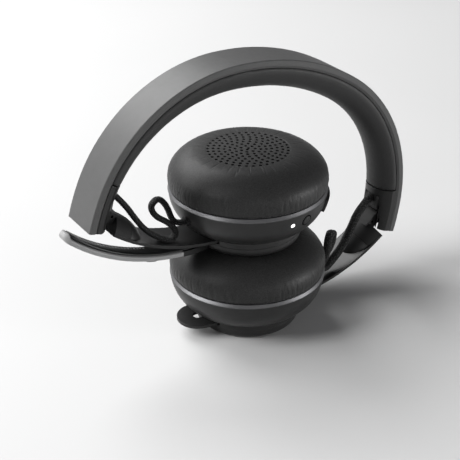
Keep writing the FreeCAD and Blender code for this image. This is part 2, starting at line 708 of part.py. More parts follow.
for side, place in SIDES.items():
    lift = PITCH.value if side == "left" else 0.0
    upright = FreeCAD.Placement(vec(0, 0, lift), FreeCAD.Rotation())
    outward = 1 if side == "right" else -1

    # hub ring: the neck between cap and bowl, slotted for the arm plate
    hub = turned("hub_blank_" + side, [
        (SPINDLE_RADIUS + RUNNING_GAP, CAP_HEIGHT + 0.05),
        (HUB_RADIUS, CAP_HEIGHT + 0.05),
        (HUB_RADIUS, BOWL_BOTTOM),
        (HUB_RADIUS - 3.0, BOWL_BOTTOM),
        (HUB_RADIUS - 3.0, WEB_HIGH),
        (SPINDLE_RADIUS + RUNNING_GAP, WEB_HIGH),
    ], place)
    hub_slot = box("hub_slot_" + side, (-30, -CHANNEL_HALF, WEB_HIGH + 0.05),
                   (30, CHANNEL_HALF, BOWL_BOTTOM + 1), place)
    keep(cut("hub_ring_" + side, hub, hub_slot), "hub_ring_" + side)

    # bowl: the cup's outer casing
    bowl = turned("bowl_" + side, [
        (0, BOWL_BOTTOM),
        (bowl_edge(BOWL_BOTTOM), BOWL_BOTTOM),
        (bowl_edge(BOWL_TOP), BOWL_TOP, BOWL_RADIUS, 1),
        (bowl_edge(BOWL_TOP, -WALL), BOWL_TOP),
        (bowl_edge(FLOOR_TOP, -WALL), FLOOR_TOP, BOWL_RADIUS - WALL, -1),
        (0, FLOOR_TOP),
    ], place)
    channel = box("channel_" + side, (-40, -CHANNEL_HALF, BOWL_BOTTOM - 2), (40, CHANNEL_HALF, FLOOR_UNDER),
                  place)
    hatch = box("saddle_hatch_" + side, (-4.9, -4.9, BOWL_BOTTOM - 2), (4.9, 4.9, FLOOR_TOP + 1), place)
    gland_start = vec(outward * GLAND_INNER, GLAND_SIDE, GLAND_HEIGHT)
    gland_way = vec(outward, 0, 0)
    gland_hole = rod("gland_hole_" + side, GLAND_RADIUS, gland_start, gland_way, 6, upright)
    tools = [channel, hatch, gland_hole]
    if side == "left":
        power_frame = bowl_frame(side, POWER_ANGLE, POWER_HEIGHT)
        rocker_frame = bowl_frame(side, ROCKER_ANGLE, ROCKER_HEIGHT)
        led_frame = bowl_frame(side, LED_ANGLE, LED_HEIGHT)
        socket_frame = bowl_frame(side, SOCKET_ANGLE, SOCKET_HEIGHT)
        tools.append(rod("power_hole", POWER_RADIUS + 0.1, vec(0, 0, -4), Z_AXIS, 8, power_frame))
        tools.append(rod("led_hole", 0.9, vec(0, 0, -4), Z_AXIS, 8, led_frame))
        gap = 0.3
        tools.append(box("rocker_window", (-ROCKER_LENGTH / 2 - gap, -ROCKER_WIDTH / 2 - gap, -4),
                         (ROCKER_LENGTH / 2 + gap, ROCKER_WIDTH / 2 + gap, 4), rocker_frame))
        tools.append(rod("rocker_bearing", AXLE_RADIUS + RUNNING_GAP, vec(0, -3.7, -AXLE_DEPTH), Y_AXIS, 7.4,
                         rocker_frame))
        tools.append(obround("socket_hole", 2.9, 1.7, 16, socket_frame))
    keep(cut("cup_shell_" + side, bowl, *tools), "cup_shell_" + side)

    # cord gland: a sleeve in the bowl's wall
    keep(rod("cord_gland_" + side, GLAND_RADIUS, gland_start, gland_way, GLAND_OUTER - GLAND_INNER, upright),
         "cord_gland_" + side)

    # rim ring: the bright chamfered edge
    rim_inner = RIM_RADIUS - 1.8
    keep(turned("rim_ring_" + side, [
        (rim_inner, BOWL_TOP),
        (RIM_RADIUS, BOWL_TOP),
        (RIM_RADIUS + 0.2, BOWL_TOP + 0.4),
        (RIM_RADIUS - 0.5, CUSHION_BASE),
        (rim_inner, CUSHION_BASE),
    ], place), "rim_ring_" + side)

    # baffle, driver and diaphragm
    keep(turned("baffle_" + side, [
        (15.0, BOWL_TOP),
        (rim_inner - 0.1, BOWL_TOP),
        (rim_inner - 0.1, CUSHION_BASE),
        (15.0, CUSHION_BASE),
    ], place), "baffle_" + side)
    keep(turned("speaker_driver_" + side, [
        (0, BOWL_TOP - 4.9),
        (8.5, BOWL_TOP - 4.9),
        (8.5, BOWL_TOP - 0.6),
        (17.0, BOWL_TOP - 0.6),
        (17.0, BOWL_TOP),
        (0, BOWL_TOP),
    ], place), "speaker_driver_" + side)
    keep(turned("diaphragm_" + side, [
        (0, BOWL_TOP + 1.1),
        (14.8, BOWL_TOP),
        (14.8, BOWL_TOP + 0.4),
        (0, BOWL_TOP + 1.5),
    ], place), "diaphragm_" + side)

    # cushion and its perforated centre
    lower_bend, upper_bend = 11.75, 18.3
    knee_radius = FLAT_RADIUS + (CUSHION_RADIUS - FLAT_RADIUS) * 0.7071
    equator = CUSHION_BASE + 1.9
    knee_height = equator + (CUSHION_HEIGHT - equator) * 0.7071
    keep(turned("cushion_" + side, [
        (FLAT_RADIUS - 3, CUSHION_BASE),
        (CUSHION_RADIUS - 1.3, CUSHION_BASE),
        (CUSHION_RADIUS, equator, as_size(1.9), 1),
        (knee_radius, knee_height, as_size(lower_bend), 1),
        (FLAT_RADIUS, CUSHION_HEIGHT, as_size(upper_bend), 1),
        (FLAT_RADIUS, CUSHION_HEIGHT - SCRIM_THICK),
        (FLAT_RADIUS - 3, CUSHION_HEIGHT - SCRIM_THICK),
    ], place), "cushion_" + side)
    scrim_base = vec(0, 0, (CUSHION_HEIGHT - SCRIM_THICK).value)
    scrim = rod("scrim_" + side, FLAT_RADIUS - RUNNING_GAP, scrim_base, Z_AXIS, SCRIM_THICK, place)
    keep(scrim, "speaker_scrim_" + side)

    # the cage in the cup that carries the tilt pin
    cage_base = box("cage_base_" + side, (-8.5, -7.5, FLOOR_TOP), (8.5, 7.5, FLOOR_TOP + 1), place)
    ear_a = box("cage_ear_a_" + side, (-8.5, -4, FLOOR_TOP), (-5, 4, TILT_HEIGHT + 2.2), place)
    ear_b = box("cage_ear_b_" + side, (5, -4, FLOOR_TOP), (8.5, 4, TILT_HEIGHT + 2.2), place)
    cage_hatch = box("cage_hatch_" + side, (-5, -5, FLOOR_TOP - 1), (5, 5, FLOOR_TOP + 8), place)
    cage_bore = rod("cage_bore_" + side, TILT_PIN_RADIUS, vec(-10, 0, TILT_HEIGHT.value), X_AXIS, 20, place)
    cage_blank = fuse("cage_blank_" + side, cage_base, ear_a, ear_b)
    keep(cut("pivot_cage_" + side, cage_blank, cage_hatch, cage_bore), "pivot_cage_" + side)
    keep(rod("tilt_pin_" + side, TILT_PIN_RADIUS, vec(-8.5, 0, TILT_HEIGHT.value), X_AXIS, 17, place),
         "tilt_pin_" + side)

# ------------------------------------------------------------------ right cup only

CAP_START = [(0, 0), (HUB_RADIUS - CAP_FILLET, 0), (HUB_RADIUS, CAP_FILLET, as_size(CAP_FILLET), 1)]
CAP_INNER = HUB_RADIUS - WALL
keep(turned("outer_cap_right", CAP_START + [
    (HUB_RADIUS, CAP_HEIGHT + 0.05),
    (CAP_INNER, CAP_HEIGHT + 0.05),
    (CAP_INNER, 1.4),
    (0, 1.4),
]), "outer_cap_right")
keep(turned("charge_coil", [(8.0, 1.4), (17.0, 1.4), (17.0, 2.3), (8.0, 2.3)]), "charge_coil")
keep(rod("coil_ferrite", 17.5, vec(0, 0, 2.3), Z_AXIS, 0.9), "coil_ferrite")
keep(box("battery_cell", (-12, 9, FLOOR_TOP), (12, 19, FLOOR_TOP + 4.5)), "battery_cell")

# ------------------------------------------------------------------ left cup only

keep(box("circuit_board", (-12, -20, FLOOR_TOP), (12, -9, FLOOR_TOP + 1.2), LEFT), "circuit_board")
button_stem = rod("button_stem", POWER_RADIUS, vec(0, 0, -2.2), Z_AXIS, 2.5, power_frame)
button_flange = rod("button_flange", POWER_RADIUS + 0.6, vec(0, 0, -2.7), Z_AXIS, 0.55, power_frame)
keep(fuse("power_button", button_stem, button_flange), "power_button")
keep(box("power_switch", (-1.8, -1.8, -4.6), (1.8, 1.8, -3.3), power_frame), "power_switch")
keep(rod("led_window", 0.9, vec(0, 0, -1.6), Z_AXIS, 1.65, led_frame), "led_window")

rocker_low, rocker_high = RIM_HEIGHT - 12, RIM_HEIGHT + 0.5
rocker_blank = box("rocker_blank", (-ROCKER_LENGTH / 2, -ROCKER_WIDTH / 2, -3),
                   (ROCKER_LENGTH / 2, ROCKER_WIDTH / 2, 3), rocker_frame)
rocker_skin = turned("rocker_skin", [
    (bowl_edge(rocker_low, 1.1), rocker_low),
    (bowl_edge(rocker_high, 1.1), rocker_high, BOWL_RADIUS + 1.1, 1),
    (bowl_edge(rocker_high, -1.5), rocker_high),
    (bowl_edge(rocker_low, -1.5), rocker_low, BOWL_RADIUS - 1.5, -1),
], LEFT)
rocker_axle = rod("rocker_axle", AXLE_RADIUS, vec(0, -3.6, -AXLE_DEPTH), Y_AXIS, 7.2, rocker_frame)
keep(fuse("volume_rocker", common("rocker_curved", rocker_blank, rocker_skin), rocker_axle), "volume_rocker")
socket_outer = obround("socket_outer", 2.9, 1.7, 6, socket_frame)
socket_inner = obround("socket_inner", 2.9, 1.35, 5, socket_frame)
keep(cut("charge_socket", socket_outer, socket_inner), "charge_socket")

# ------------------------------------------------------------------ boom

SPINDLE_TOP = 4.8
keep(turned("boom_hub", CAP_START + [
    (HUB_RADIUS, CAP_HEIGHT - 0.05),
    (CAP_INNER, CAP_HEIGHT - 0.05),
    (CAP_INNER, 1.4),
    (SPINDLE_RADIUS, 1.4),
    (SPINDLE_RADIUS, SPINDLE_TOP),
    (0, SPINDLE_TOP),
], LEFT), "boom_hub")
keep(rod("boom_retainer", 5.5, vec(0, 0, SPINDLE_TOP), Z_AXIS, 0.2, LEFT), "boom_retainer")

BOOM_BEND = cell("boom_bend")
BOOM_WIDTH = cell("boom_width")
BOOM_REACH = cell("boom_reach")
BOOM_START = 29.0
BOOM_BASE = 0.4
BOOM_JOINT = 33.0
INLAY_START = 24.0
SHELL_THICK, INLAY_THICK = 2.3, 1.2
TIP_WRAP = 3.0


def boom_rise(reach, depth):
    """Height of the boom's curve at a reach, at a depth above its lower face."""
    radius = BOOM_BEND - depth
    run = as_size(reach) - BOOM_START
    return BOOM_BEND + BOOM_BASE - (radius * radius - run * run).root()


def boom_slab(name, first, last, low, high, width):
    """A stretch of the boom between two reaches and two depths."""
    return slab(name, [
        (first, boom_rise(first, low)),
        (last, boom_rise(last, low), BOOM_BEND - low, 1),
        (last, boom_rise(last, high)),
        (first, boom_rise(first, high), BOOM_BEND - high, -1),
    ], width, LEFT)


# the tip is rounded square to the boom's own curve
tip_slope = math.degrees(math.asin((BOOM_REACH.value - BOOM_START) / BOOM_BEND.value))
tip_frame = LEFT.multiply(FreeCAD.Placement(vec(BOOM_REACH.value, 0, boom_rise(BOOM_REACH, 0).value),
                                            FreeCAD.Rotation(Y_AXIS, -tip_slope)))
boom_plan = slab("boom_plan", [
    (-BOOM_WIDTH / 2, -BOOM_WIDTH / 2),
    (0, 0, BOOM_WIDTH / 2, 1),
    (-BOOM_WIDTH / 2, BOOM_WIDTH / 2, BOOM_WIDTH / 2, 1),
    (-100, BOOM_WIDTH / 2),
    (-100, -BOOM_WIDTH / 2),
], 120, tip_frame, "XY_Plane")
boom_strip = boom_slab("boom_strip", BOOM_JOINT, BOOM_REACH + 3, 0, SHELL_THICK, BOOM_WIDTH)
boom_wrap = boom_slab("boom_wrap", BOOM_REACH - TIP_WRAP, BOOM_REACH + 3, 0, SHELL_THICK + INLAY_THICK,
                      BOOM_WIDTH)
keep(common("boom_shell", fuse("boom_blank", boom_strip, boom_wrap), boom_plan), "boom_shell")
inlay = boom_slab("inlay_strip", INLAY_START, BOOM_REACH - TIP_WRAP, SHELL_THICK, SHELL_THICK + INLAY_THICK,
                  BOOM_WIDTH - 0.8)
capsules = []
for number, reach in enumerate((56.0, 76.0)):
    floor = SHELL_THICK + 0.1
    spot = vec(reach, 0, boom_rise(reach, floor).value)
    lean = math.degrees(math.asin((reach - BOOM_START) / (BOOM_BEND.value - floor)))
    capsule_frame = LEFT.multiply(FreeCAD.Placement(spot, FreeCAD.Rotation(Y_AXIS, -lean)))
    capsules.append(rod("capsule_%d" % number, 2.0, vec(0, 0, 0), Z_AXIS, 0.7, capsule_frame))
keep(cut("boom_inlay", inlay, *capsules), "boom_inlay")
keep(group("mic_capsules", capsules), "mic_capsules")
root_strip = boom_slab("root_strip", 15.0, BOOM_JOINT, 0, SHELL_THICK, BOOM_WIDTH)
hub_drum = rod("hub_drum", HUB_RADIUS, vec(0, 0, -5), Z_AXIS, 20, LEFT)
keep(cut("boom_root", root_strip, hub_drum), "boom_root")

# ------------------------------------------------------------------ cords

CORD_RADIUS = cell("cord_diameter").value / 2
ARC_SHARE = 0.45

# Each cord leaves the band's end beside the tongue, lies along the arm plate, doubles back,
# loops and enters the cup's gland. Points are (reach from the cups' axis, y, height over the
# cup's own rest level).
CORD_TAIL = [
    (40.6, -4.3, 12.0),
    (36.6, -4.2, 11.2),
    (34.0, -4.1, 13.8),
    (36.6, -4.0, 17.2),
    (41.2, -3.4, 20.2),
    (45.4, -2.4, 23.6),
    (45.0, -0.8, 28.0),
    (40.8, 0.4, 28.0),
    (38.4, 0.4, 22.8),
    (37.2, -1.6, 17.2),
    (35.4, -3.0, 15.7),
    (31.8, -3.0, 15.7),
]
CORD_HEADS = {
    "left": [(58.0, -1.4, 31.8), (53.6, -3.0, 26.4), (49.8, -3.8, 20.6), (45.8, -4.2, 14.8)],
    "right": [(60.6, -0.9, 34.0), (56.2, -1.8, 29.6), (52.2, -2.9, 24.6), (48.6, -3.7, 19.2),
              (45.0, -4.2, 14.4)],
}
CORD_START = (66.2, 0.0, 7.2)


def cord_route(side):
    sign, lift = (1, 0.0) if side == "right" else (-1, PITCH.value)
    start = BAND.multVec(vec(sign * CORD_START[0], CORD_START[1], CORD_START[2]))
    return [start] + [vec(sign * s, y, z + lift) for s, y, z in CORD_HEADS[side] + CORD_TAIL]


def tube(route, radius, name):
    """A round tube along straight runs joined by tangent arcs."""
    edges = []
    here = route[0]
    radii = []
    for before, corner, after in zip(route, route[1:], route[2:]):
        into = (corner - before).normalize()
        out = (after - corner).normalize()
        shorter = min((corner - before).Length, (after - corner).Length)
        turn = math.acos(max(-1.0, min(1.0, into.dot(out))))
        bend = ARC_SHARE * shorter / math.tan(turn / 2)
        reach = ARC_SHARE * shorter
        a, b = corner - into * reach, corner + out * reach
        inward = (out - into).normalize()
        middle = corner + inward * (bend / math.cos(turn / 2) - bend)
        edges.append(Part.LineSegment(here, a).toShape())
        edges.append(Part.Arc(a, middle, b).toShape())
        here = b
        radii.append(bend)
    edges.append(Part.LineSegment(here, route[-1]).toShape())
    path = Part.Wire(edges)
    ring = Part.Wire([Part.Circle(route[0], route[1] - route[0], radius).toShape()])
    solid = path.makePipeShell([ring], True, False)
    ideal = math.pi * radius * radius * path.Length
    print(name, "length", round(path.Length, 1), "volume ratio", round(solid.Volume / ideal, 4),
          "radii", [round(r, 1) for r in radii])
    return solid


for side in SIDES:
    keep(shaped("cord_" + side, tube(cord_route(side), CORD_RADIUS, "cord_" + side)), "cord_" + side)

# ------------------------------------------------------------------ check and write

doc.recompute()
for thing in doc.Objects:
    if "Invalid" in thing.State or "Error" in thing.State:
        raise RuntimeError("%s is %s" % (thing.Label, thing.State))
for thing in parts:
    if thing.Shape.isNull() or not thing.Shape.isValid() or not thing.Shape.Solids:
        raise RuntimeError("%s has no valid solid" % thing.Label)

os.makedirs("parts", exist_ok=True)
for thing in parts:
    thing.Shape.exportStep("parts/%s.step" % thing.Label)
print(len(parts), "sub-parts")
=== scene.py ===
import json
import math
import random

import bmesh
import bpy
from mathutils import Matrix, Vector


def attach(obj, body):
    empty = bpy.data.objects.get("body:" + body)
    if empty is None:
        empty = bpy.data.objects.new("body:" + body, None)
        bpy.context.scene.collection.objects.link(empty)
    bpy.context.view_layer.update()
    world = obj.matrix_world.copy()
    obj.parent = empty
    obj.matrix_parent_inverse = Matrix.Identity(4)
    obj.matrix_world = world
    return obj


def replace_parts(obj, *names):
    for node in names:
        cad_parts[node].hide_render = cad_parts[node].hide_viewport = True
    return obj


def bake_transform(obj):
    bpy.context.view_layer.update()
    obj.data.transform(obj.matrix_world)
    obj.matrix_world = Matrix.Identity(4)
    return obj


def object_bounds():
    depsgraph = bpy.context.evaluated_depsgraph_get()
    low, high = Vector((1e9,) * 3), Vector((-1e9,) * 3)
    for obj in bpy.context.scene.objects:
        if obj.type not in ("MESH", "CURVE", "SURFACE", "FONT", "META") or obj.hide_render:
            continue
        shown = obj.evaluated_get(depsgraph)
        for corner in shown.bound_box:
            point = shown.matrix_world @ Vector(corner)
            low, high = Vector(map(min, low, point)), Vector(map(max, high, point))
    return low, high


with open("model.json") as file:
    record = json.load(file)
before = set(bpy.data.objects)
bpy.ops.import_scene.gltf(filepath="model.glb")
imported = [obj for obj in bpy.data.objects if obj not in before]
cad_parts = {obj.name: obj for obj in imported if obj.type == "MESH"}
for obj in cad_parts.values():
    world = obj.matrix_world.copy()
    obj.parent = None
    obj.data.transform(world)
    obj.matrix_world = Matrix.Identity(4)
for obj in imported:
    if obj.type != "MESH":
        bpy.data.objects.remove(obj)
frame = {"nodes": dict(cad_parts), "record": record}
cad_box = [list(corner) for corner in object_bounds()]
nodes = frame["nodes"]
MM = 0.001
PITCH = 38.57
# For each cup's own frame: which way its arm lies along X, and how far up it starts, in mm.
SIDES = {"right": (1, 0.0), "left": (-1, PITCH)}


def placed(name, data):
    """A new object in the scene."""
    obj = bpy.data.objects.new(name, data)
    bpy.context.collection.objects.link(obj)
    return obj


def blunt(value, power):
    """A sine or cosine raised to a power with its sign kept, which squares off a round outline."""
    return math.copysign(abs(value) ** power, value)


def at(side, s, y, z):
    """A point given in mm in a cup's own frame: s outward to its arm, z up from its cap."""
    sign, lift = SIDES[side]
    return Vector((sign * s, y, z + lift)) * MM


# ---------------------------------------------------------------- camera and light

camera = placed("camera", bpy.data.cameras.new("camera"))
camera.data.lens = 89.68
camera.data.sensor_width = 36
camera.data.clip_start = 0.01
azimuth, elevation = math.radians(-32.59), math.radians(28.47)
back = Vector((math.sin(azimuth) * math.cos(elevation), -math.cos(azimuth) * math.cos(elevation),
               math.sin(elevation)))
camera.location = (-0.23134, -0.34837, 0.26655)
camera.rotation_euler = (-back).to_track_quat("-Z", "Y").to_euler()
bpy.context.scene.camera = camera

world = bpy.data.worlds.new("studio")
world.use_nodes = True
world.node_tree.nodes["Background"].inputs["Color"].default_value = (0.95, 0.96, 1.0, 1)
world.node_tree.nodes["Background"].inputs["Strength"].default_value = 0.10
bpy.context.scene.world = world
bpy.context.scene.view_settings.view_transform = "Standard"


def area_light(name, place, aim, size, power):
    """A round soft light at a place, turned to a point, with its size in metres and its power in watts."""
    data = bpy.data.lights.new(name, "AREA")
    data.shape = "DISK"
    data.size = size
    data.energy = power
    lamp = placed(name, data)
    lamp.location = place
    lamp.rotation_euler = (Vector(aim) - Vector(place)).to_track_quat("-Z", "Y").to_euler()


area_light("left_light", (-1.00, 0.35, 0.80), (0, 0, 0.06), 0.9, 29)
area_light("top_light", (-0.15, 0.95, 0.95), (0, 0, 0.06), 1.0, 22)
area_light("right_light", (0.78, -0.74, 0.03), (0, 0, 0.05), 0.35, 14)
area_light("front_light", (-0.35, -1.2, 0.30), (0, 0, 0.09), 0.5, 2)

# ---------------------------------------------------------------- the upper cup's bowl

RIM_R, RIM_Z, BOWL_BEND = 32.5, 22.3, 17.0
POWER_ANGLE, POWER_HEIGHT, POWER_RADIUS = -77.0, 17.7, 2.3
LED_ANGLE, LED_HEIGHT = -90.0, 17.6


def on_bowl(angle, height, proud=0.0):
    """A point on the upper cup's bowl: degrees round the cup, mm over its rest level."""
    rise = (height - RIM_Z) / BOWL_BEND
    reach = RIM_R - BOWL_BEND + (BOWL_BEND + proud) * math.sqrt(1 - rise * rise)
    turn = math.radians(angle)
    return Vector((reach * math.cos(turn), reach * math.sin(turn), height + proud * rise + PITCH)) * MM


# ---------------------------------------------------------------- materials


class Finish:
    """A procedural material, built a step at a time around one Principled shader."""

    def __init__(self, name, **fixed):
        self.material = bpy.data.materials.new(name)
        self.material.use_nodes = True
        self.tree = self.material.node_tree
        self.shader = self.tree.nodes["Principled BSDF"]
        for key, value in fixed.items():
            self.shader.inputs[key.replace("_", " ")].default_value = value
        self.coords = self.tree.nodes.new("ShaderNodeTexCoord")
        self.height = None

    def node(self, kind, *links, **values):
        """A node with its sockets or settings given by name, fed by (output, input) links."""
        made = self.tree.nodes.new(kind)
        for key, value in values.items():
            if key in made.inputs.keys():
                made.inputs[key].default_value = value
            else:
                setattr(made, key, value)
        for source, target in links:
            self.tree.links.new(source, made.inputs[target])
        return made

    def noise(self, scale, detail=4.0, rough=0.55, stretch=None, uv=False):
        source = self.coords.outputs["UV" if uv else "Object"]
        if stretch:
            mapping = self.node("ShaderNodeMapping", (source, "Vector"))
            mapping.inputs["Scale"].default_value = stretch
            source = mapping.outputs[0]
        return self.node("ShaderNodeTexNoise", (source, "Vector"), Scale=scale, Detail=detail,
                         Roughness=rough).outputs["Fac"]

    def cells(self, scale, feature="F1", random_size=1.0):
        made = self.node("ShaderNodeTexVoronoi", (self.coords.outputs["Object"], "Vector"))
        made.feature = feature
        made.inputs["Scale"].default_value = scale
        made.inputs["Randomness"].default_value = random_size
        return made.outputs["Distance"]

    def math(self, operation, first, second=None):
        made = self.node("ShaderNodeMath")
        made.operation = operation
        for number, value in enumerate((first, second)):
            if value is None:
                continue
            if isinstance(value, (int, float)):
                made.inputs[number].default_value = value
            else:
                self.tree.links.new(value, made.inputs[number])
        return made.outputs[0]

    def ramp(self, source, low, high, start=0.3, end=0.7):
        """Maps a factor onto a range of colours or numbers."""
        made = self.node("ShaderNodeValToRGB", (source, "Fac"))
        made.color_ramp.elements[0].position = start
        made.color_ramp.elements[1].position = end
        made.color_ramp.elements[0].color = low if isinstance(low, tuple) else (low, low, low, 1)
        made.color_ramp.elements[1].color = high if isinstance(high, tuple) else (high, high, high, 1)
        return made.outputs[0]

    def colour(self, source):
        self.tree.links.new(source, self.shader.inputs["Base Color"])

    def roughness(self, source):
        self.tree.links.new(source, self.shader.inputs["Roughness"])

    def bump(self, source, distance, strength=1.0):
        """Adds a layer of relief, in metres."""
        made = self.node("ShaderNodeBump", (source, "Height"), Distance=distance, Strength=strength)
        if self.height is not None:
            self.tree.links.new(self.height, made.inputs["Normal"])
        self.height = made.outputs["Normal"]
        self.tree.links.new(self.height, self.shader.inputs["Normal"])


def grey(level):
    return (level, level, level, 1)


EDGE_RADIUS = 0.00022


def moulded(name, low, high, rough, grain, gloss=0.3):
    """Moulded plastic: softened edges, a faint mottle, a fine spark-eroded grain and small scuffs."""
    made = Finish(name, Specular_IOR_Level=gloss)
    made.height = made.node("ShaderNodeBevel", Radius=EDGE_RADIUS).outputs[0]
    made.colour(made.ramp(made.noise(240, 4), grey(low), grey(high)))
    scuffs = made.noise(700, 3, stretch=(1, 0.4, 1))
    made.roughness(made.ramp(scuffs, rough - 0.02, rough + 0.03))
    made.bump(made.noise(grain, 2), 0.00001, 0.35)
    return made.material


def metal(name, colour, rough, stretch, scale=900):
    """Metal with a brushed or drawn grain."""
    made = Finish(name, Metallic=1.0)
    lines = made.noise(scale, 3, stretch=stretch)
    made.colour(made.ramp(lines, tuple(c * 0.82 for c in colour[:3]) + (1,), colour))
    made.roughness(made.ramp(lines, rough - 0.06, rough + 0.1))
    made.bump(lines, 0.00001, 0.4)
    return made.material


PLEATS_PER_MM, PLEAT_TALL, PLEAT_DEEP, PLEAT_PAINTED_SHADE = 1.5, 11.0, 0.0030, 6.0


def leather(name, low, high, rough=0.5, pleated=False):
    """Soft coated leatherette: pebbled cells and pores, and fine pleats that rise from a seam, with painted
    shade darker in their hollows and lighter on their ridges.
    """
    made = Finish(name, Specular_IOR_Level=0.20, Sheen_Weight=0.05, Sheen_Roughness=0.4)
    shade = made.noise(2600, 3, 0.6)
    made.roughness(made.ramp(made.noise(900, 3), rough - 0.04, rough + 0.08))
    made.bump(made.cells(2100, "SMOOTH_F1"), 0.00006, 0.35)
    made.bump(made.noise(4200, 3), 0.00003, 0.4)
    if pleated:
        split = made.node("ShaderNodeSeparateXYZ", (made.coords.outputs["UV"], "Vector"))
        folds = made.noise(1.0, 3, uv=True, stretch=(PLEATS_PER_MM, 0.05, 1))
        low_down = made.ramp(split.outputs["Y"], 1.0, 0.0, 0.0, PLEAT_TALL)
        creases = made.math("MULTIPLY", folds, low_down)
        made.bump(creases, PLEAT_DEEP)
        # Painted shade: the colour darkens in the pleats' hollows and lightens on their ridges, most near
        # the seam.
        fold_shade_strength = made.math("MULTIPLY", low_down, PLEAT_PAINTED_SHADE)
        painted_fold_shade = made.math("MULTIPLY", made.math("SUBTRACT", folds, 0.5), fold_shade_strength)
        shade = made.math("ADD", shade, painted_fold_shade)
    made.colour(made.ramp(shade, grey(low), grey(high)))
    return made.material


def woven(name, low, high, pitch_along, pitch_round):
    """Braided sleeve over a cord, from UVs that run in mm along and turns round."""
    made = Finish(name, Specular_IOR_Level=0.12, Sheen_Weight=0.04, Sheen_Roughness=0.5)
    split = made.node("ShaderNodeSeparateXYZ", (made.coords.outputs["UV"], "Vector"))
    along = made.math("MULTIPLY", split.outputs["X"], 2 * math.pi / pitch_along)
    around = made.math("MULTIPLY", split.outputs["Y"], 2 * math.pi * pitch_round)
    one = made.math("SINE", made.math("ADD", along, around))
    two = made.math("SINE", made.math("SUBTRACT", along, around))
    strands = made.math("MAXIMUM", made.math("ABSOLUTE", one), made.math("ABSOLUTE", two))
    speck = made.ramp(made.noise(2.4, 1, uv=True, stretch=(1, 6, 1)), 0.0, 1.0, 0.50, 0.66)
    # Painted shade and highlight: the colour is darker in the gaps between strands and lighter on their
    # crowns, scaled by random light flecks.
    shade = made.math("MULTIPLY", strands, made.math("ADD", made.math("MULTIPLY", speck, 0.85), 0.15))
    made.colour(made.ramp(shade, grey(low), grey(high), 0.1, 1.0))
    made.roughness(made.ramp(strands, 0.85, 0.6))
    made.bump(strands, 0.00018, 0.8)
    return made.material


BAND = moulded("band_graphite", 0.064, 0.069, 0.46, 5200, gloss=0.22)
CUP = moulded("cup_graphite", 0.017, 0.020, 0.36, 5200, gloss=0.24)
ARM = moulded("arm_graphite", 0.013, 0.016, 0.36, 4200, gloss=0.26)
# The hinge blocks' copy of the arm plastic: rougher, and a touch darker as painted shade on their brightly
# lit flat faces.
SHADED_HINGE = moulded("hinge_graphite_painted_shade", 0.012, 0.015, 0.60, 4200, gloss=0.12)
GLOSS = moulded("gloss_black", 0.009, 0.011, 0.42, 5000, gloss=0.35)
BLACKED = moulded("blacked_steel", 0.006, 0.008, 0.34, 3600, gloss=0.4)
# Near-black: the speaker liners' cloth, and also painted shade on the boom's hole floors and round the
# power button.
CLOTH = moulded("speaker_cloth_and_painted_shade", 0.0015, 0.0025, 0.95, 2600, gloss=0.05)
INNER = moulded("inner_black", 0.006, 0.009, 0.55, 3800)
BOOM = moulded("boom_satin", 0.21, 0.24, 0.40, 5200, gloss=0.25)
STRIP = moulded("boom_strip_dark", 0.008, 0.011, 0.40, 3600, gloss=0.25)
RUBBER = moulded("button_rubber", 0.007, 0.009, 0.42, 3600)
SKIN = leather("leatherette", 0.015, 0.020, 0.62)
CUSHION_SKIN = leather("cushion_leatherette", 0.009, 0.026, pleated=True)
PAD_SKIN = leather("pad_leatherette", 0.024, 0.030, 0.55)
CORD = woven("cord_braid", 0.0020, 0.052, 1.1, 4)
STEEL = metal("steel", (0.55, 0.55, 0.56, 1), 0.28, (1, 8, 1))
RIM = metal("rim_metal", (0.17, 0.17, 0.175, 1), 0.46, (1, 1, 14))
SPRING = metal("spring_steel", (0.25, 0.25, 0.27, 1), 0.34, (8, 1, 8))
FOIL = metal("cell_foil", (0.62, 0.62, 0.63, 1), 0.38, (1, 3, 1), 400)


WIRE_PITCH = 0.0006


def coil_finish():
    """Enamelled copper wound in a flat spiral."""
    made = Finish("copper_coil", Metallic=1.0)
    split = made.node("ShaderNodeSeparateXYZ", (made.coords.outputs["Object"], "Vector"))
    across, along = (made.math("POWER", split.outputs[axis], 2.0) for axis in "XY")
    reach = made.math("SQRT", made.math("ADD", across, along))
    turns = made.math("SINE", made.math("MULTIPLY", reach, 2 * math.pi / WIRE_PITCH))
    # Painted shade and highlight: each turn of wire is coloured lighter on its crown and darker between
    # turns.
    made.colour(made.ramp(turns, (0.24, 0.09, 0.035, 1), (0.60, 0.27, 0.12, 1), 0.2, 0.8))
    made.roughness(made.ramp(made.noise(600, 2), 0.25, 0.4))
    made.bump(turns, 0.0001, 0.8)
    return made.material


def board_finish():
    """Green solder mask over faint copper tracks."""
    made = Finish("board_laminate", Coat_Weight=0.4, Coat_Roughness=0.2)
    tracks = made.cells(420, "DISTANCE_TO_EDGE", 0.6)
    made.colour(made.ramp(tracks, (0.035, 0.12, 0.035, 1), (0.008, 0.05, 0.018, 1), 0.02, 0.08))
    made.roughness(made.ramp(made.noise(800, 2), 0.3, 0.45))
    made.bump(tracks, 0.00005, 0.4)
    return made.material


GLOW_CORE, GLOW_EDGE = 0.0003, 0.00072


def lamp_finish():
    """A lit, milky lens, bright in its middle and dark at its edge."""
    made = Finish("led_lens", Emission_Strength=1.6, Roughness=0.35)
    away = made.node("ShaderNodeVectorMath", (made.coords.outputs["Object"], 0), operation="DISTANCE")
    away.inputs[1].default_value = on_bowl(LED_ANGLE, LED_HEIGHT)
    haze = made.math("MULTIPLY", made.noise(2600, 2), 0.0002)
    spread = made.math("ADD", away.outputs["Value"], haze)
    glow = made.ramp(spread, grey(1.0), grey(0.04), GLOW_CORE, GLOW_EDGE)
    made.colour(glow)
    made.tree.links.new(glow, made.shader.inputs["Emission Color"])
    made.bump(made.noise(2400, 2), 0.00003, 0.3)
    return made.material


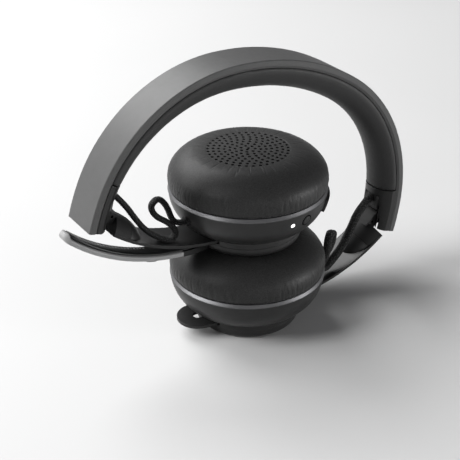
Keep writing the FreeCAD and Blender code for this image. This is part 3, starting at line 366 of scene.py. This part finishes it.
def film_finish():
    """Clear pressed film with radial corrugations."""
    made = Finish("diaphragm_film", Coat_Weight=0.6, Coat_Roughness=0.1)
    made.colour(made.ramp(made.noise(300, 3), grey(0.16), grey(0.24)))
    made.roughness(made.ramp(made.noise(700, 2), 0.2, 0.35))
    made.bump(made.noise(240, 2, stretch=(6, 6, 1)), 0.0002, 0.4)
    return made.material


FINISHES = {
    "band_graphite": BAND, "gloss_black": GLOSS, "arm_graphite": ARM, "cup_graphite": CUP,
    "inner_black": INNER, "button_black": RUBBER, "boom_satin": BOOM, "boom_rubber": RUBBER,
    "rubber_black": RUBBER, "leatherette": SKIN, "cord_braid": CORD, "lead_jacket": INNER,
    "rim_metal": RIM, "steel": STEEL, "spring_steel": SPRING, "driver_steel": STEEL,
    "diaphragm_film": film_finish(), "copper_coil": coil_finish(), "ferrite": INNER,
    "cell_foil": FOIL, "board_laminate": board_finish(), "led_lens": lamp_finish(),
}
slot_of = {entry["node"]: entry["material_slot"] for entry in frame["record"]["subparts"]}
for name, obj in nodes.items():
    finish = FINISHES[slot_of[name]]
    if not obj.material_slots:
        obj.data.materials.append(finish)
    for place in obj.material_slots:
        place.material = finish
nodes["power_button"].material_slots[0].material = CUP
nodes["charge_socket"].material_slots[0].material = BLACKED
for side in SIDES:
    nodes["slider_" + side].material_slots[0].material = BLACKED
    nodes["hinge_block_" + side].material_slots[0].material = SHADED_HINGE


def piece(name, mesh, finish, body, smooth=True):
    """A finished piece, on a body if one is named."""
    obj = placed(name, mesh)
    obj.data.materials.clear()
    obj.data.materials.append(finish)
    if smooth:
        obj.data.polygons.foreach_set("use_smooth", [True] * len(obj.data.polygons))
    if body:
        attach(obj, body)
    return obj


def applied(obj):
    """The object's mesh with its modifiers applied."""
    depsgraph = bpy.context.evaluated_depsgraph_get()
    depsgraph.update()
    return bpy.data.meshes.new_from_object(obj.evaluated_get(depsgraph))


def baked(obj):
    """Makes the object's modifiers part of its mesh."""
    obj.data = applied(obj)
    obj.modifiers.clear()


# ---------------------------------------------------------------- cords

# Points in mm, in each cup's own frame: the CAD tubes' courses, with the loops refitted to the photograph.
CORD_ROUTES = {
    "left": [
        (61.76, 0.0, 35.6), (57.0, -1.0, 29.8), (53.6, -2.4, 23.4), (50.0, -3.4, 17.6), (44.6, -4.1, 12.9),
        (38.4, -4.2, 9.6), (36.0, -4.2, 13.2), (39.8, -4.2, 18.2), (45.4, -3.6, 22.2), (46.6, -2.2, 26.4),
        (41.8, -0.4, 28.0), (37.8, 0.2, 23.0), (36.8, -1.6, 17.4), (34.8, -3.0, 15.7), (31.8, -3.0, 15.7),
    ],
    "right": [
        (65.67, 0.0, 38.26), (61.0, -1.0, 35.4), (56.4, -1.8, 31.8), (53.6, -2.6, 27.8), (50.8, -3.2, 23.4),
        (47.2, -3.7, 18.9), (42.6, -4.1, 14.9), (38.0, -4.2, 11.4), (35.0, -4.4, 13.0), (37.0, -4.9, 17.2),
        (38.4, -4.8, 20.4), (38.6, -5.0, 25.0), (40.2, -4.2, 28.8), (43.4, -2.4, 27.2), (42.8, -2.2, 21.8),
        (39.2, -2.6, 17.4), (35.4, -3.0, 15.7), (31.8, -3.0, 15.7),
    ],
}
# Which way each cord's flat side lies at its two ends.
CORD_FLAT = {
    "left": (Vector((0, 1, 0)), Vector((0.25, 0.9, -0.3))),
    "right": (Vector((0.53, -0.67, -0.51)), Vector((0.95, -0.3, 0))),
}
CORD_WIDTH, CORD_THICK, CORD_AROUND = 0.0037, 0.0024, 20


def route_line(name, points):
    """The smooth centreline of a route, as points read from its NURBS spline."""
    curve = bpy.data.curves.new(name, "CURVE")
    curve.dimensions = "3D"
    curve.resolution_u = 12
    spline = curve.splines.new("NURBS")
    spline.points.add(len(points) - 1)
    for place, point in zip(spline.points, points):
        place.co = (*point, 1)
    spline.order_u = 3
    spline.use_endpoint_u = True
    obj = placed(name, curve)
    line = [v.co.copy() for v in applied(obj).vertices]
    bpy.data.objects.remove(obj)
    return line


def tube_mesh(name, line, flat):
    """A soft flattened tube along a line, wide to one side, with UVs in mm along and turns round."""
    around = CORD_AROUND
    mesh = bpy.data.meshes.new(name)
    build = bmesh.new()
    uv = build.loops.layers.uv.new("braid")
    rings, travel, run = [], [], 0.0
    for i, spot in enumerate(line):
        ahead = (line[min(i + 1, len(line) - 1)] - line[max(i - 1, 0)]).normalized()
        wide = flat[0].lerp(flat[1], i / len(line))
        wide = (wide - ahead * wide.dot(ahead)).normalized()
        up = ahead.cross(wide)
        if i:
            run += (spot - line[i - 1]).length
        travel.append(run * 1000)
        phases = [2 * math.pi * k / around for k in range(around)]
        rings.append([
            build.verts.new(spot + wide * (CORD_WIDTH / 2 * math.cos(phase))
                            + up * (CORD_THICK / 2 * math.sin(phase)))
            for phase in phases])
    for i in range(len(rings) - 1):
        for k in range(around):
            after = (k + 1) % around
            face = build.faces.new((rings[i][k], rings[i][after], rings[i + 1][after], rings[i + 1][k]))
            corners = ((travel[i], k), (travel[i], k + 1), (travel[i + 1], k + 1), (travel[i + 1], k))
            for loop, (along, turn) in zip(face.loops, corners):
                loop[uv].uv = (along, turn / around)
    build.faces.new(reversed(rings[0]))
    build.faces.new(rings[-1])
    bmesh.ops.recalc_face_normals(build, faces=build.faces)
    build.to_mesh(mesh)
    build.free()
    return mesh


for side in SIDES:
    points = [at(side, *spot) for spot in CORD_ROUTES[side]]
    line = route_line("route_" + side, points)
    mesh = tube_mesh("braided_cord_" + side, line, CORD_FLAT[side])
    cord = piece("braided_cord_" + side, mesh, CORD, None)
    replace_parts(cord, "cord_" + side)
    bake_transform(cord)

# ---------------------------------------------------------------- cushions

EQUATOR_Z, EQUATOR_R, TOP_Z, TOP_R, BASE_Z = 24.9, 33.0, 38.2, 17.0, 23.05
CUSHION_AROUND, CUSHION_STEPS, DISC_GAP = 480, 22, 0.03
CUSHION_TUCK = 0.7
PUFF_CAP, PUFF_PRESSURE, PUFF_GROWTH, PUFF_FRAMES, PUFF_SCALE = 0.5, 0.6, 0.02, 24, 0.1
FOLD_SEEDS = {"right": 7, "left": 11}
FOLD_START, FOLD_FADE, FOLD_LEAN, FOLD_SPREAD = 0.03, 1.2, 0.04, 1.6


def cushion_profile():
    """(radius, height) in mm, from the seam at the base to the pressed seam round the centre."""
    profile = [(31.2, BASE_Z), (32.2, BASE_Z + 0.35), (32.8, BASE_Z + 1.0)]
    for i in range(CUSHION_STEPS + 1):
        turn = math.pi / 2 * i / CUSHION_STEPS
        profile.append((TOP_R + (EQUATOR_R - TOP_R) * math.cos(turn),
                        EQUATOR_Z + (TOP_Z - EQUATOR_Z) * math.sin(turn)))
    profile += [(TOP_R - DISC_GAP, TOP_Z), (TOP_R - DISC_GAP, TOP_Z - CUSHION_TUCK)]
    return profile


def lathe(name, profile, around):
    """A turned skin in mm, with UVs that are mm round and mm up."""
    mesh = bpy.data.meshes.new(name)
    build = bmesh.new()
    uv = build.loops.layers.uv.new("turned")
    base = profile[0][1]
    phases = [2 * math.pi * k / around for k in range(around)]
    rings = [[build.verts.new((r * math.cos(phase), r * math.sin(phase), z)) for phase in phases]
             for r, z in profile]
    for lower, upper in zip(rings, rings[1:]):
        for k in range(around):
            after = (k + 1) % around
            face = build.faces.new((lower[k], lower[after], upper[after], upper[k]))
            for loop, turn in zip(face.loops, (k, k + 1, k + 1, k)):
                loop[uv].uv = (2 * math.pi * EQUATOR_R * turn / around, loop.vert.co.z - base)
    build.to_mesh(mesh)
    build.free()
    return mesh


def puffed(mesh, pinned):
    """Puffs up a skin in mm by a cloth simulation at a tenth of that size, each point's move capped."""
    mesh.transform(Matrix.Scale(PUFF_SCALE, 4))
    start = [v.co.copy() for v in mesh.vertices]
    obj = placed("simulated", mesh)
    group = obj.vertex_groups.new(name="pins")
    group.add(pinned, 1.0, "REPLACE")
    cloth = obj.modifiers.new("cloth", "CLOTH")
    cloth.settings.quality = 6
    cloth.settings.mass = 0.2
    cloth.settings.tension_stiffness = 12
    cloth.settings.compression_stiffness = 6
    cloth.settings.bending_stiffness = 0.25
    cloth.settings.vertex_group_mass = "pins"
    cloth.settings.use_pressure = True
    cloth.settings.uniform_pressure_force = PUFF_PRESSURE
    cloth.settings.shrink_min = -PUFF_GROWTH
    cloth.settings.effector_weights.gravity = 0
    scene = bpy.context.scene
    for number in range(1, PUFF_FRAMES + 1):
        scene.frame_set(number)
    result = [v.co.copy() for v in applied(obj).vertices]
    scene.frame_set(1)
    bpy.data.objects.remove(obj)
    for vertex, before, after in zip(mesh.vertices, start, result):
        move = after - before
        limit = PUFF_CAP * PUFF_SCALE
        if move.length > limit:
            move *= limit / move.length
        vertex.co = before + move
    mesh.transform(Matrix.Scale(1 / PUFF_SCALE, 4))


def pleats(seed):
    """Soft folds round the base seam, as (angle, width, depth, share of the height)."""
    rng = random.Random(seed)
    folds = []
    angle = 0.0
    while angle < 2 * math.pi:
        width, depth, tall = rng.uniform(0.009, 0.018), rng.uniform(0.05, 0.26), rng.uniform(0.30, 0.80)
        folds.append((angle, width, depth, tall))
        angle += rng.uniform(0.035, 0.09)
    return folds


def cushion_mesh(side):
    """A cup's cushion in mm: turned, puffed up, and folded in at the seam."""
    mesh = lathe("cushion_skin_" + side, cushion_profile(), CUSHION_AROUND)
    count, edge = len(mesh.vertices), 2 * CUSHION_AROUND
    puffed(mesh, list(range(edge)) + list(range(count - edge, count)))
    folds = pleats(FOLD_SEEDS[side])
    for vertex in mesh.vertices:
        x, y, z = vertex.co
        angle = math.atan2(y, x) % (2 * math.pi)
        up = max(0.0, (z - BASE_Z) / (TOP_Z - BASE_Z))
        inward = 0.0
        for centre, width, depth, tall in folds:
            gap = (angle - centre + math.pi) % (2 * math.pi) - math.pi
            fade = max(0.0, 1 - up / tall) ** FOLD_FADE * min(1.0, up / FOLD_START)
            off = (gap + FOLD_LEAN * up) / (width * (1 + FOLD_SPREAD * up))
            inward += fade * depth * math.exp(-off ** 2)
        reach = math.hypot(x, y)
        shrink = 1 - inward / reach
        vertex.co = (x * shrink, y * shrink, z)
    return mesh


def settle(mesh, side):
    """From mm in a cup's own frame to metres in the shared frame."""
    sign, lift = SIDES[side]
    turn = Matrix.Rotation(0 if sign > 0 else math.pi, 4, "Z")
    mesh.transform(Matrix.Translation((0, 0, lift * MM)) @ turn @ Matrix.Scale(MM, 4))
    return mesh


for side in SIDES:
    mesh = settle(cushion_mesh(side), side)
    cushion = piece("cushion_skin_" + side, mesh, CUSHION_SKIN, None)
    smooth = cushion.modifiers.new("smooth", "SUBSURF")
    smooth.levels = smooth.render_levels = 1
    baked(cushion)
    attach(cushion, "cup_" + side)
    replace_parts(cushion, "cushion_" + side)

# ---------------------------------------------------------------- perforated centres

HOLE_RADIUS, HOLE_PITCH, RING_PITCH, OUTER_RING, RING_COUNT = 0.80, 2.78, 2.2, 16.15, 8
DISC_THICK, DISC_BEVEL, RING_TWIST = 0.5, 0.12, 0.9
DISC_POINTS, HOLE_POINTS, LINER_AROUND = 240, 12, 96
LINER_R, LINER_Z, LINER_THICK, LINER_CORE, LINER_STEP = 16.9, 35.6, 0.3, 0.001, 8


def perforated(name):
    """The cushion's centre in mm: a disc with round holes in rings, from a filled flat curve."""
    curve = bpy.data.curves.new(name, "CURVE")
    curve.dimensions = "2D"
    curve.fill_mode = "BOTH"
    curve.extrude = DISC_THICK / 2
    curve.bevel_depth = DISC_BEVEL
    curve.bevel_resolution = 1

    def circle(x, y, r, count):
        spline = curve.splines.new("POLY")
        spline.points.add(count - 1)
        for i, place in enumerate(spline.points):
            turn = 2 * math.pi * i / count
            place.co = (x + r * math.cos(turn), y + r * math.sin(turn), 0, 1)
        spline.use_cyclic_u = True

    circle(0, 0, TOP_R, DISC_POINTS)
    for step in range(RING_COUNT):
        ring = OUTER_RING - RING_PITCH * step
        count = max(2, round(2 * math.pi * ring / HOLE_PITCH))
        for i in range(count):
            turn = 2 * math.pi * i / count + RING_TWIST * ring
            circle(ring * math.cos(turn), ring * math.sin(turn), HOLE_RADIUS, HOLE_POINTS)
    obj = placed(name, curve)
    mesh = applied(obj)
    bpy.data.objects.remove(obj)
    return mesh


LINER_PROFILE = [(LINER_CORE, LINER_Z), (LINER_STEP, LINER_Z), (LINER_R, LINER_Z),
                 (LINER_R, LINER_Z - LINER_THICK), (LINER_CORE, LINER_Z - LINER_THICK)]
for side in SIDES:
    mesh = perforated("scrim_" + side)
    mesh.transform(Matrix.Translation((0, 0, TOP_Z - DISC_THICK / 2 - DISC_BEVEL)))
    scrim = piece("perforated_skin_" + side, settle(mesh, side), SKIN, "cup_" + side,
                  smooth=False)
    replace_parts(scrim, "speaker_scrim_" + side)
    under = lathe("liner", LINER_PROFILE, LINER_AROUND)
    piece("speaker_liner_" + side, settle(under, side), CLOTH, "cup_" + side)

# ---------------------------------------------------------------- headband pad

PAD_VOXEL, PAD_SWELL = 0.0007, 0.00008
pad = placed("headband_pad", nodes["band_pad"].data.copy())
remesh = pad.modifiers.new("remesh", "REMESH")
remesh.mode = "VOXEL"
remesh.voxel_size = PAD_VOXEL
soften = pad.modifiers.new("soften", "SMOOTH")
soften.factor = 0.5
soften.iterations = 8
swell = pad.modifiers.new("swell", "DISPLACE")
swell.strength = PAD_SWELL
swell.mid_level = 0
baked(pad)
pad.data.materials.clear()
pad.data.materials.append(PAD_SKIN)
pad.data.polygons.foreach_set("use_smooth", [True] * len(pad.data.polygons))
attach(pad, "headband")
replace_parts(pad, "band_pad")

# ---------------------------------------------------------------- boom

BOOM_START, BOOM_BASE, BOOM_BEND = 29.0, 0.4, 80.0
BOOM_JOINT, BOOM_REACH, INLAY_START = 33.0, 84.2, 24.0
SHELL_THICK, TIP_THICK, BOOM_HALF, INLAY_HALF = 2.3, 3.4, 4.0, 3.6
HOLES_FROM, HOLES_TO, HOLES_PER_ROW = 49.0, 80.0, 23
INLAY_SKEW, INLAY_ROUND, INLAY_SHORT, INLAY_BLUNT = 3.4, 3, 1.3, 0.02
TIP_COVER, TIP_EASE, TIP_ROUND, TIP_LIFT, TIP_RISE = 2.8, 1.4, 2.2, 0.25, 3
SECTION_POINTS, BOOM_STEPS, STEPS_BEFORE_TIP, TIP_STEPS, TIP_GAP = 40, 60, 56, 12, 0.00004
PLAIN_ROWS, END_ROWS = 18, 5


def bend_angle(reach):
    """The angle along the boom's bend at a reach from the cup's axis."""
    return math.asin((reach - BOOM_START) / BOOM_BEND)


def on_boom(turn, y, depth):
    """A point of the boom: the angle along its bend, y across it, depth over its lower face."""
    radius = BOOM_BEND - depth
    return at("left", BOOM_START + radius * math.sin(turn), y,
              BOOM_BASE + BOOM_BEND - radius * math.cos(turn))


def lofted(name, rings):
    """A closed mesh through equal rings of points."""
    mesh = bpy.data.meshes.new(name)
    build = bmesh.new()
    made = [[build.verts.new(point) for point in ring] for ring in rings]
    for first, second in zip(made, made[1:]):
        for k in range(len(first)):
            after = (k + 1) % len(first)
            build.faces.new((first[k], first[after], second[after], second[k]))
    build.faces.new(reversed(made[0]))
    build.faces.new(made[-1])
    bmesh.ops.recalc_face_normals(build, faces=build.faces)
    build.to_mesh(mesh)
    build.free()
    return mesh


def eased(share):
    """A share from 0 to 1 with a slow start and a slow stop."""
    share = min(1.0, max(0.0, share))
    return share * share * (3 - 2 * share)


def shell_ring(turn, end):
    """The shell's rounded section, which closes round the inlay's end and then to the tip."""
    to_end = (end - turn) * BOOM_BEND
    plan, closing = BOOM_HALF, 1
    if to_end <= BOOM_HALF:
        plan = math.sqrt(max(0.0, BOOM_HALF ** 2 - (BOOM_HALF - to_end) ** 2))
    if to_end <= TIP_ROUND:
        closing = math.sqrt(max(0.0, 1 - ((TIP_ROUND - to_end) / TIP_ROUND) ** 2))
    top = SHELL_THICK + (TIP_THICK - SHELL_THICK) * eased((TIP_COVER - to_end) / TIP_EASE)
    middle = top * 0.5 + TIP_LIFT * (1 - min(1.0, to_end / TIP_RISE))
    half = (top * 0.5) * closing
    ring = []
    for k in range(SECTION_POINTS):
        phase = 2 * math.pi * k / SECTION_POINTS
        depth = middle + half * blunt(math.sin(phase), 0.5)
        ring.append(on_boom(turn, plan * blunt(math.cos(phase), 0.34), depth))
    return ring


joint_turn, tip_turn = bend_angle(BOOM_JOINT), bend_angle(BOOM_REACH)
# Even steps along the boom, and then ever closer ones up to its tip.
turns = [joint_turn + (tip_turn - joint_turn) * i / BOOM_STEPS for i in range(STEPS_BEFORE_TIP + 1)]
closing = tip_turn - turns[-1]
turns += [tip_turn - closing * (1 - math.sin(math.pi / 2 * i / TIP_STEPS)) for i in range(1, TIP_STEPS)]
turns.append(tip_turn - TIP_GAP)
shell_mesh = lofted("boom_strip", [shell_ring(turn, tip_turn) for turn in turns])
shell = piece("boom_strip", shell_mesh, BOOM, "boom")
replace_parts(shell, "boom_shell")

# The inlay's section, (across, depth) in mm, and the gaps between its points that the holes are in.
INLAY_ACROSS = [(-3.6, 2.35), (-3.6, 2.9), (-3.35, 3.3), (-2.6, 3.52), (-1.4, 3.66), (0.0, 3.74),
                (1.2, 3.80), (2.0, 3.80), (2.3, 3.78), (3.05, 3.62), (3.4, 3.25), (3.6, 2.9), (3.6, 2.35)]
HOLE_COLUMNS = (6, 8)
HOLE_RIM, HOLE_SINK = 0.00010, 0.0005


def inlay_mesh(name):
    """The crowned inlay, round at its end, with two staggered rows of sunk holes: their floors near-black
    as painted shade, their rims light grey as painted highlight.
    """
    mesh = bpy.data.meshes.new(name)
    build = bmesh.new()
    begin, first, last = bend_angle(INLAY_START), bend_angle(HOLES_FROM), bend_angle(HOLES_TO)
    plain = [begin + (first - begin) * i / PLAIN_ROWS for i in range(PLAIN_ROWS)]
    holed = [first + (last - first) * i / (2 * HOLES_PER_ROW) for i in range(2 * HOLES_PER_ROW + 1)]
    stop = tip_turn - INLAY_SHORT / BOOM_BEND
    rows = plain + holed
    rows += [last + (stop - last) * math.sin(math.pi / 2 * i / END_ROWS) for i in range(1, END_ROWS + 1)]
    grid = []
    for turn in rows:
        to_end = (stop - turn) * BOOM_BEND
        short = max(0.0, (INLAY_ROUND - to_end) / INLAY_ROUND)
        plan = math.sqrt(max(INLAY_BLUNT, 1 - short ** 2))
        drift = INLAY_SKEW * min(1.0, max(0.0, (turn - first) / (last - first)))
        grid.append([build.verts.new(on_boom(turn, (y - drift * (1 - abs(y) / INLAY_HALF)) * plan, depth))
                     for y, depth in INLAY_ACROSS])
    holes = []
    for i in range(len(rows) - 1):
        for k in range(len(INLAY_ACROSS)):
            after = (k + 1) % len(INLAY_ACROSS)
            face = build.faces.new((grid[i][k], grid[i][after], grid[i + 1][after], grid[i + 1][k]))
            number = i - len(plain)
            if 0 <= number < 2 * HOLES_PER_ROW and k == HOLE_COLUMNS[number % 2]:
                holes.append(face)
    build.faces.new(reversed(grid[0]))
    build.faces.new(grid[-1])
    bmesh.ops.recalc_face_normals(build, faces=build.faces)
    # Painted shade and highlight: each hole's sunk floor gets the near-black finish and its inset rim the
    # boom's light satin.
    for face in holes:
        outward = face.normal.copy()
        for part in bmesh.ops.inset_individual(build, faces=[face], thickness=HOLE_RIM)["faces"]:
            part.material_index = 2
        face.material_index = 1
        for vertex in face.verts:
            vertex.co -= outward * HOLE_SINK
    build.to_mesh(mesh)
    build.free()
    return mesh


strip_mesh = inlay_mesh("boom_mic_strip")
kinds = [face.material_index for face in strip_mesh.polygons]
inlay = piece("boom_mic_strip", strip_mesh, STRIP, "boom")
# Slot 1, near-black, is painted shade for the hole floors; slot 2, the boom's light grey, is painted
# highlight on the hole rims.
inlay.data.materials.append(CLOTH)
inlay.data.materials.append(BOOM)
inlay.data.polygons.foreach_set("material_index", kinds)
rounded = inlay.modifiers.new("rounded", "SUBSURF")
rounded.levels = rounded.render_levels = 1
baked(inlay)
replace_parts(inlay, "boom_inlay")


OVAL_POINTS = 32


def oval_pad(name, centre, along, across, up, half_length, half_width, thick, finish, body):
    """A low rounded pad with an oval outline."""
    rings = []
    for share, level in ((1.0, -0.2), (1.0, 0.5), (0.93, 0.85), (0.8, 1.0)):
        ring = []
        for k in range(OVAL_POINTS):
            phase = 2 * math.pi * k / OVAL_POINTS
            ring.append(centre + up * (thick * level * MM)
                        + along * (share * half_length * blunt(math.cos(phase), 0.5) * MM)
                        + across * (share * half_width * blunt(math.sin(phase), 0.7) * MM))
        rings.append(ring)
    piece(name, lofted(name, rings), finish, body)


FOOT_REACH, FOOT_HALF_LENGTH, FOOT_HALF_WIDTH, FOOT_THICK, NUDGE = 47.0, 3.1, 3.4, 0.35, 0.01
foot_turn = bend_angle(FOOT_REACH)
foot_up = (on_boom(foot_turn, 0, 0) - on_boom(foot_turn, 0, 1)).normalized()
foot_along = (on_boom(foot_turn + NUDGE, 0, 0) - on_boom(foot_turn - NUDGE, 0, 0)).normalized()
oval_pad("boom_foot", on_boom(foot_turn, 0, 0), foot_along, Vector((0, 1, 0)), foot_up,
         FOOT_HALF_LENGTH, FOOT_HALF_WIDTH, FOOT_THICK, RUBBER, "boom")

# ---------------------------------------------------------------- small trim

RING_THICK = 0.00008
BUTTON_POINTS, GAP_SHADE_PROUD, GAP_SHADE_MARGIN = 48, 0.04, 0.12


def band_ring(name, points_in, points_out, finish, body):
    """A thin closed strip between two loops of points."""
    mesh = bpy.data.meshes.new(name)
    build = bmesh.new()
    lines = [[build.verts.new(p) for p in points_in], [build.verts.new(p) for p in points_out]]
    count = len(points_in)
    for k in range(count):
        after = (k + 1) % count
        build.faces.new((lines[0][k], lines[0][after], lines[1][after], lines[1][k]))
    build.to_mesh(mesh)
    build.free()
    obj = piece(name, mesh, finish, body)
    solid = obj.modifiers.new("solid", "SOLIDIFY")
    solid.thickness = RING_THICK
    solid.offset = 0
    baked(obj)


def button_circle(radius, proud):
    """A circle round the power button that lies on the bowl."""
    reach = on_bowl(POWER_ANGLE, POWER_HEIGHT).xy.length / MM
    flat = math.sqrt(1 - ((POWER_HEIGHT - RIM_Z) / BOWL_BEND) ** 2)
    line = []
    for k in range(BUTTON_POINTS):
        phase = 2 * math.pi * k / BUTTON_POINTS
        sideways = math.degrees(radius * math.cos(phase) / reach)
        line.append(on_bowl(POWER_ANGLE + sideways, POWER_HEIGHT + radius * math.sin(phase) * flat, proud))
    return line


CAP_RADIUS = POWER_RADIUS - 0.4
# The button's cap, from its foot to its middle, as (radius, height over the bowl) in mm.
CAP_STEPS = ((CAP_RADIUS, -0.5), (CAP_RADIUS, 0.10), (CAP_RADIUS - 0.12, 0.17), (CAP_RADIUS * 0.6, 0.18),
             (0.02, 0.18))
# Painted shade: a near-black ring laid on the bowl over the gap round the power button.
band_ring("button_gap_shade", button_circle(CAP_RADIUS, GAP_SHADE_PROUD),
          button_circle(POWER_RADIUS + GAP_SHADE_MARGIN, GAP_SHADE_PROUD), CLOTH, "cup_left")
cap_mesh = lofted("power_cap", [button_circle(radius, proud) for radius, proud in CAP_STEPS])
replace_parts(piece("power_cap", cap_mesh, CUP, "power_button"), "power_button")

HINGE_REACH, HINGE_Z = 71.1, 30.0
BAND_TILT = math.asin(PITCH / (2 * HINGE_REACH))
BAND_MIDDLE = HINGE_Z + PITCH / 2


def on_band(side, x, y, z):
    """A point in the leaning headband's frame: x outward on that side, z towards the crown."""
    c, s = math.cos(BAND_TILT), math.sin(BAND_TILT)
    sign = SIDES[side][0]
    return Vector((sign * x * c + z * s, y, BAND_MIDDLE - sign * x * s + z * c)) * MM


LIP_REACH, LIP_Z, LIP_HALF_WIDTH, LIP_HALF_TALL = 66.45, 7.0, 2.35, 1.75
PANEL_Z, PANEL_HALF_WIDTH, PANEL_HALF_TALL = 5.2, 4.5, 3.1
# The panel's sections from its back to its face, as (growth, reach) in mm.
PANEL_STEPS = ((0.0, 69.6), (0.0, 66.9), (-0.35, 66.6))
PANEL_OUTLINE = ((-1, -1), (1, -1), (1, 0.7), (0.8, 1), (-0.8, 1), (-1, 0.7))


def cord_mouth(side):
    """The moulded panel that the cord comes out of, with a raised lip round the slot."""
    rings = []
    for grow, x in PANEL_STEPS:
        half_width, half_tall = PANEL_HALF_WIDTH + grow, PANEL_HALF_TALL + grow
        rings.append([on_band(side, x, y * half_width, PANEL_Z + z * half_tall) for y, z in PANEL_OUTLINE])
    piece("cord_panel_" + side, lofted("cord_panel_" + side, rings), GLOSS, "slider_" + side,
          smooth=False)
    phases = [2 * math.pi * k / SECTION_POINTS for k in range(SECTION_POINTS)]
    outline = [(LIP_HALF_WIDTH * blunt(math.cos(phase), 0.5), LIP_HALF_TALL * blunt(math.sin(phase), 0.5))
               for phase in phases]
    lip_out = [on_band(side, LIP_REACH, y * 1.12, LIP_Z + z * 1.16) for y, z in outline]
    lip_in = [on_band(side, LIP_REACH, y * 0.9, LIP_Z + z * 0.86) for y, z in outline]
    band_ring("cord_lip_" + side, lip_in, lip_out, RUBBER, "slider_" + side)


for side in SIDES:
    cord_mouth(side)

VENT_HEIGHT, VENT_REACH, VENT_HALF, VENT_PROUD = 27.35, 32.72, 0.42, 0.06
# Painted shade: each vent is a dark, barely raised oval on the cushion's side, standing in for the hole.
for side in SIDES:
    spot = Vector((-VENT_REACH, 0, VENT_HEIGHT + SIDES[side][1])) * MM
    oval_pad("cushion_vent_shade_" + side, spot, Vector((0, 1, 0)), Vector((0, 0, 1)), Vector((-1, 0, 0)),
             VENT_HALF, VENT_HALF, VENT_PROUD, INNER, "cup_" + side)

# ---------------------------------------------------------------- stage

FLOOR_HALF, FLOOR_GAP = 30, 0.00002
corners = [(x * FLOOR_HALF, y * FLOOR_HALF, 0) for x, y in ((-1, -1), (1, -1), (1, 1), (-1, 1))]
floor_mesh = bpy.data.meshes.new("floor")
floor_mesh.from_pydata(corners, [], [(0, 1, 2, 3)])
floor = placed("floor", floor_mesh)
floor.location.z = cad_box[0][2] - FLOOR_GAP
ground = Finish("floor_paper", Roughness=0.9, Specular_IOR_Level=0.1)
ground.colour(ground.ramp(ground.noise(3, 2), grey(0.47), grey(0.49)))
floor.data.materials.append(ground.material)
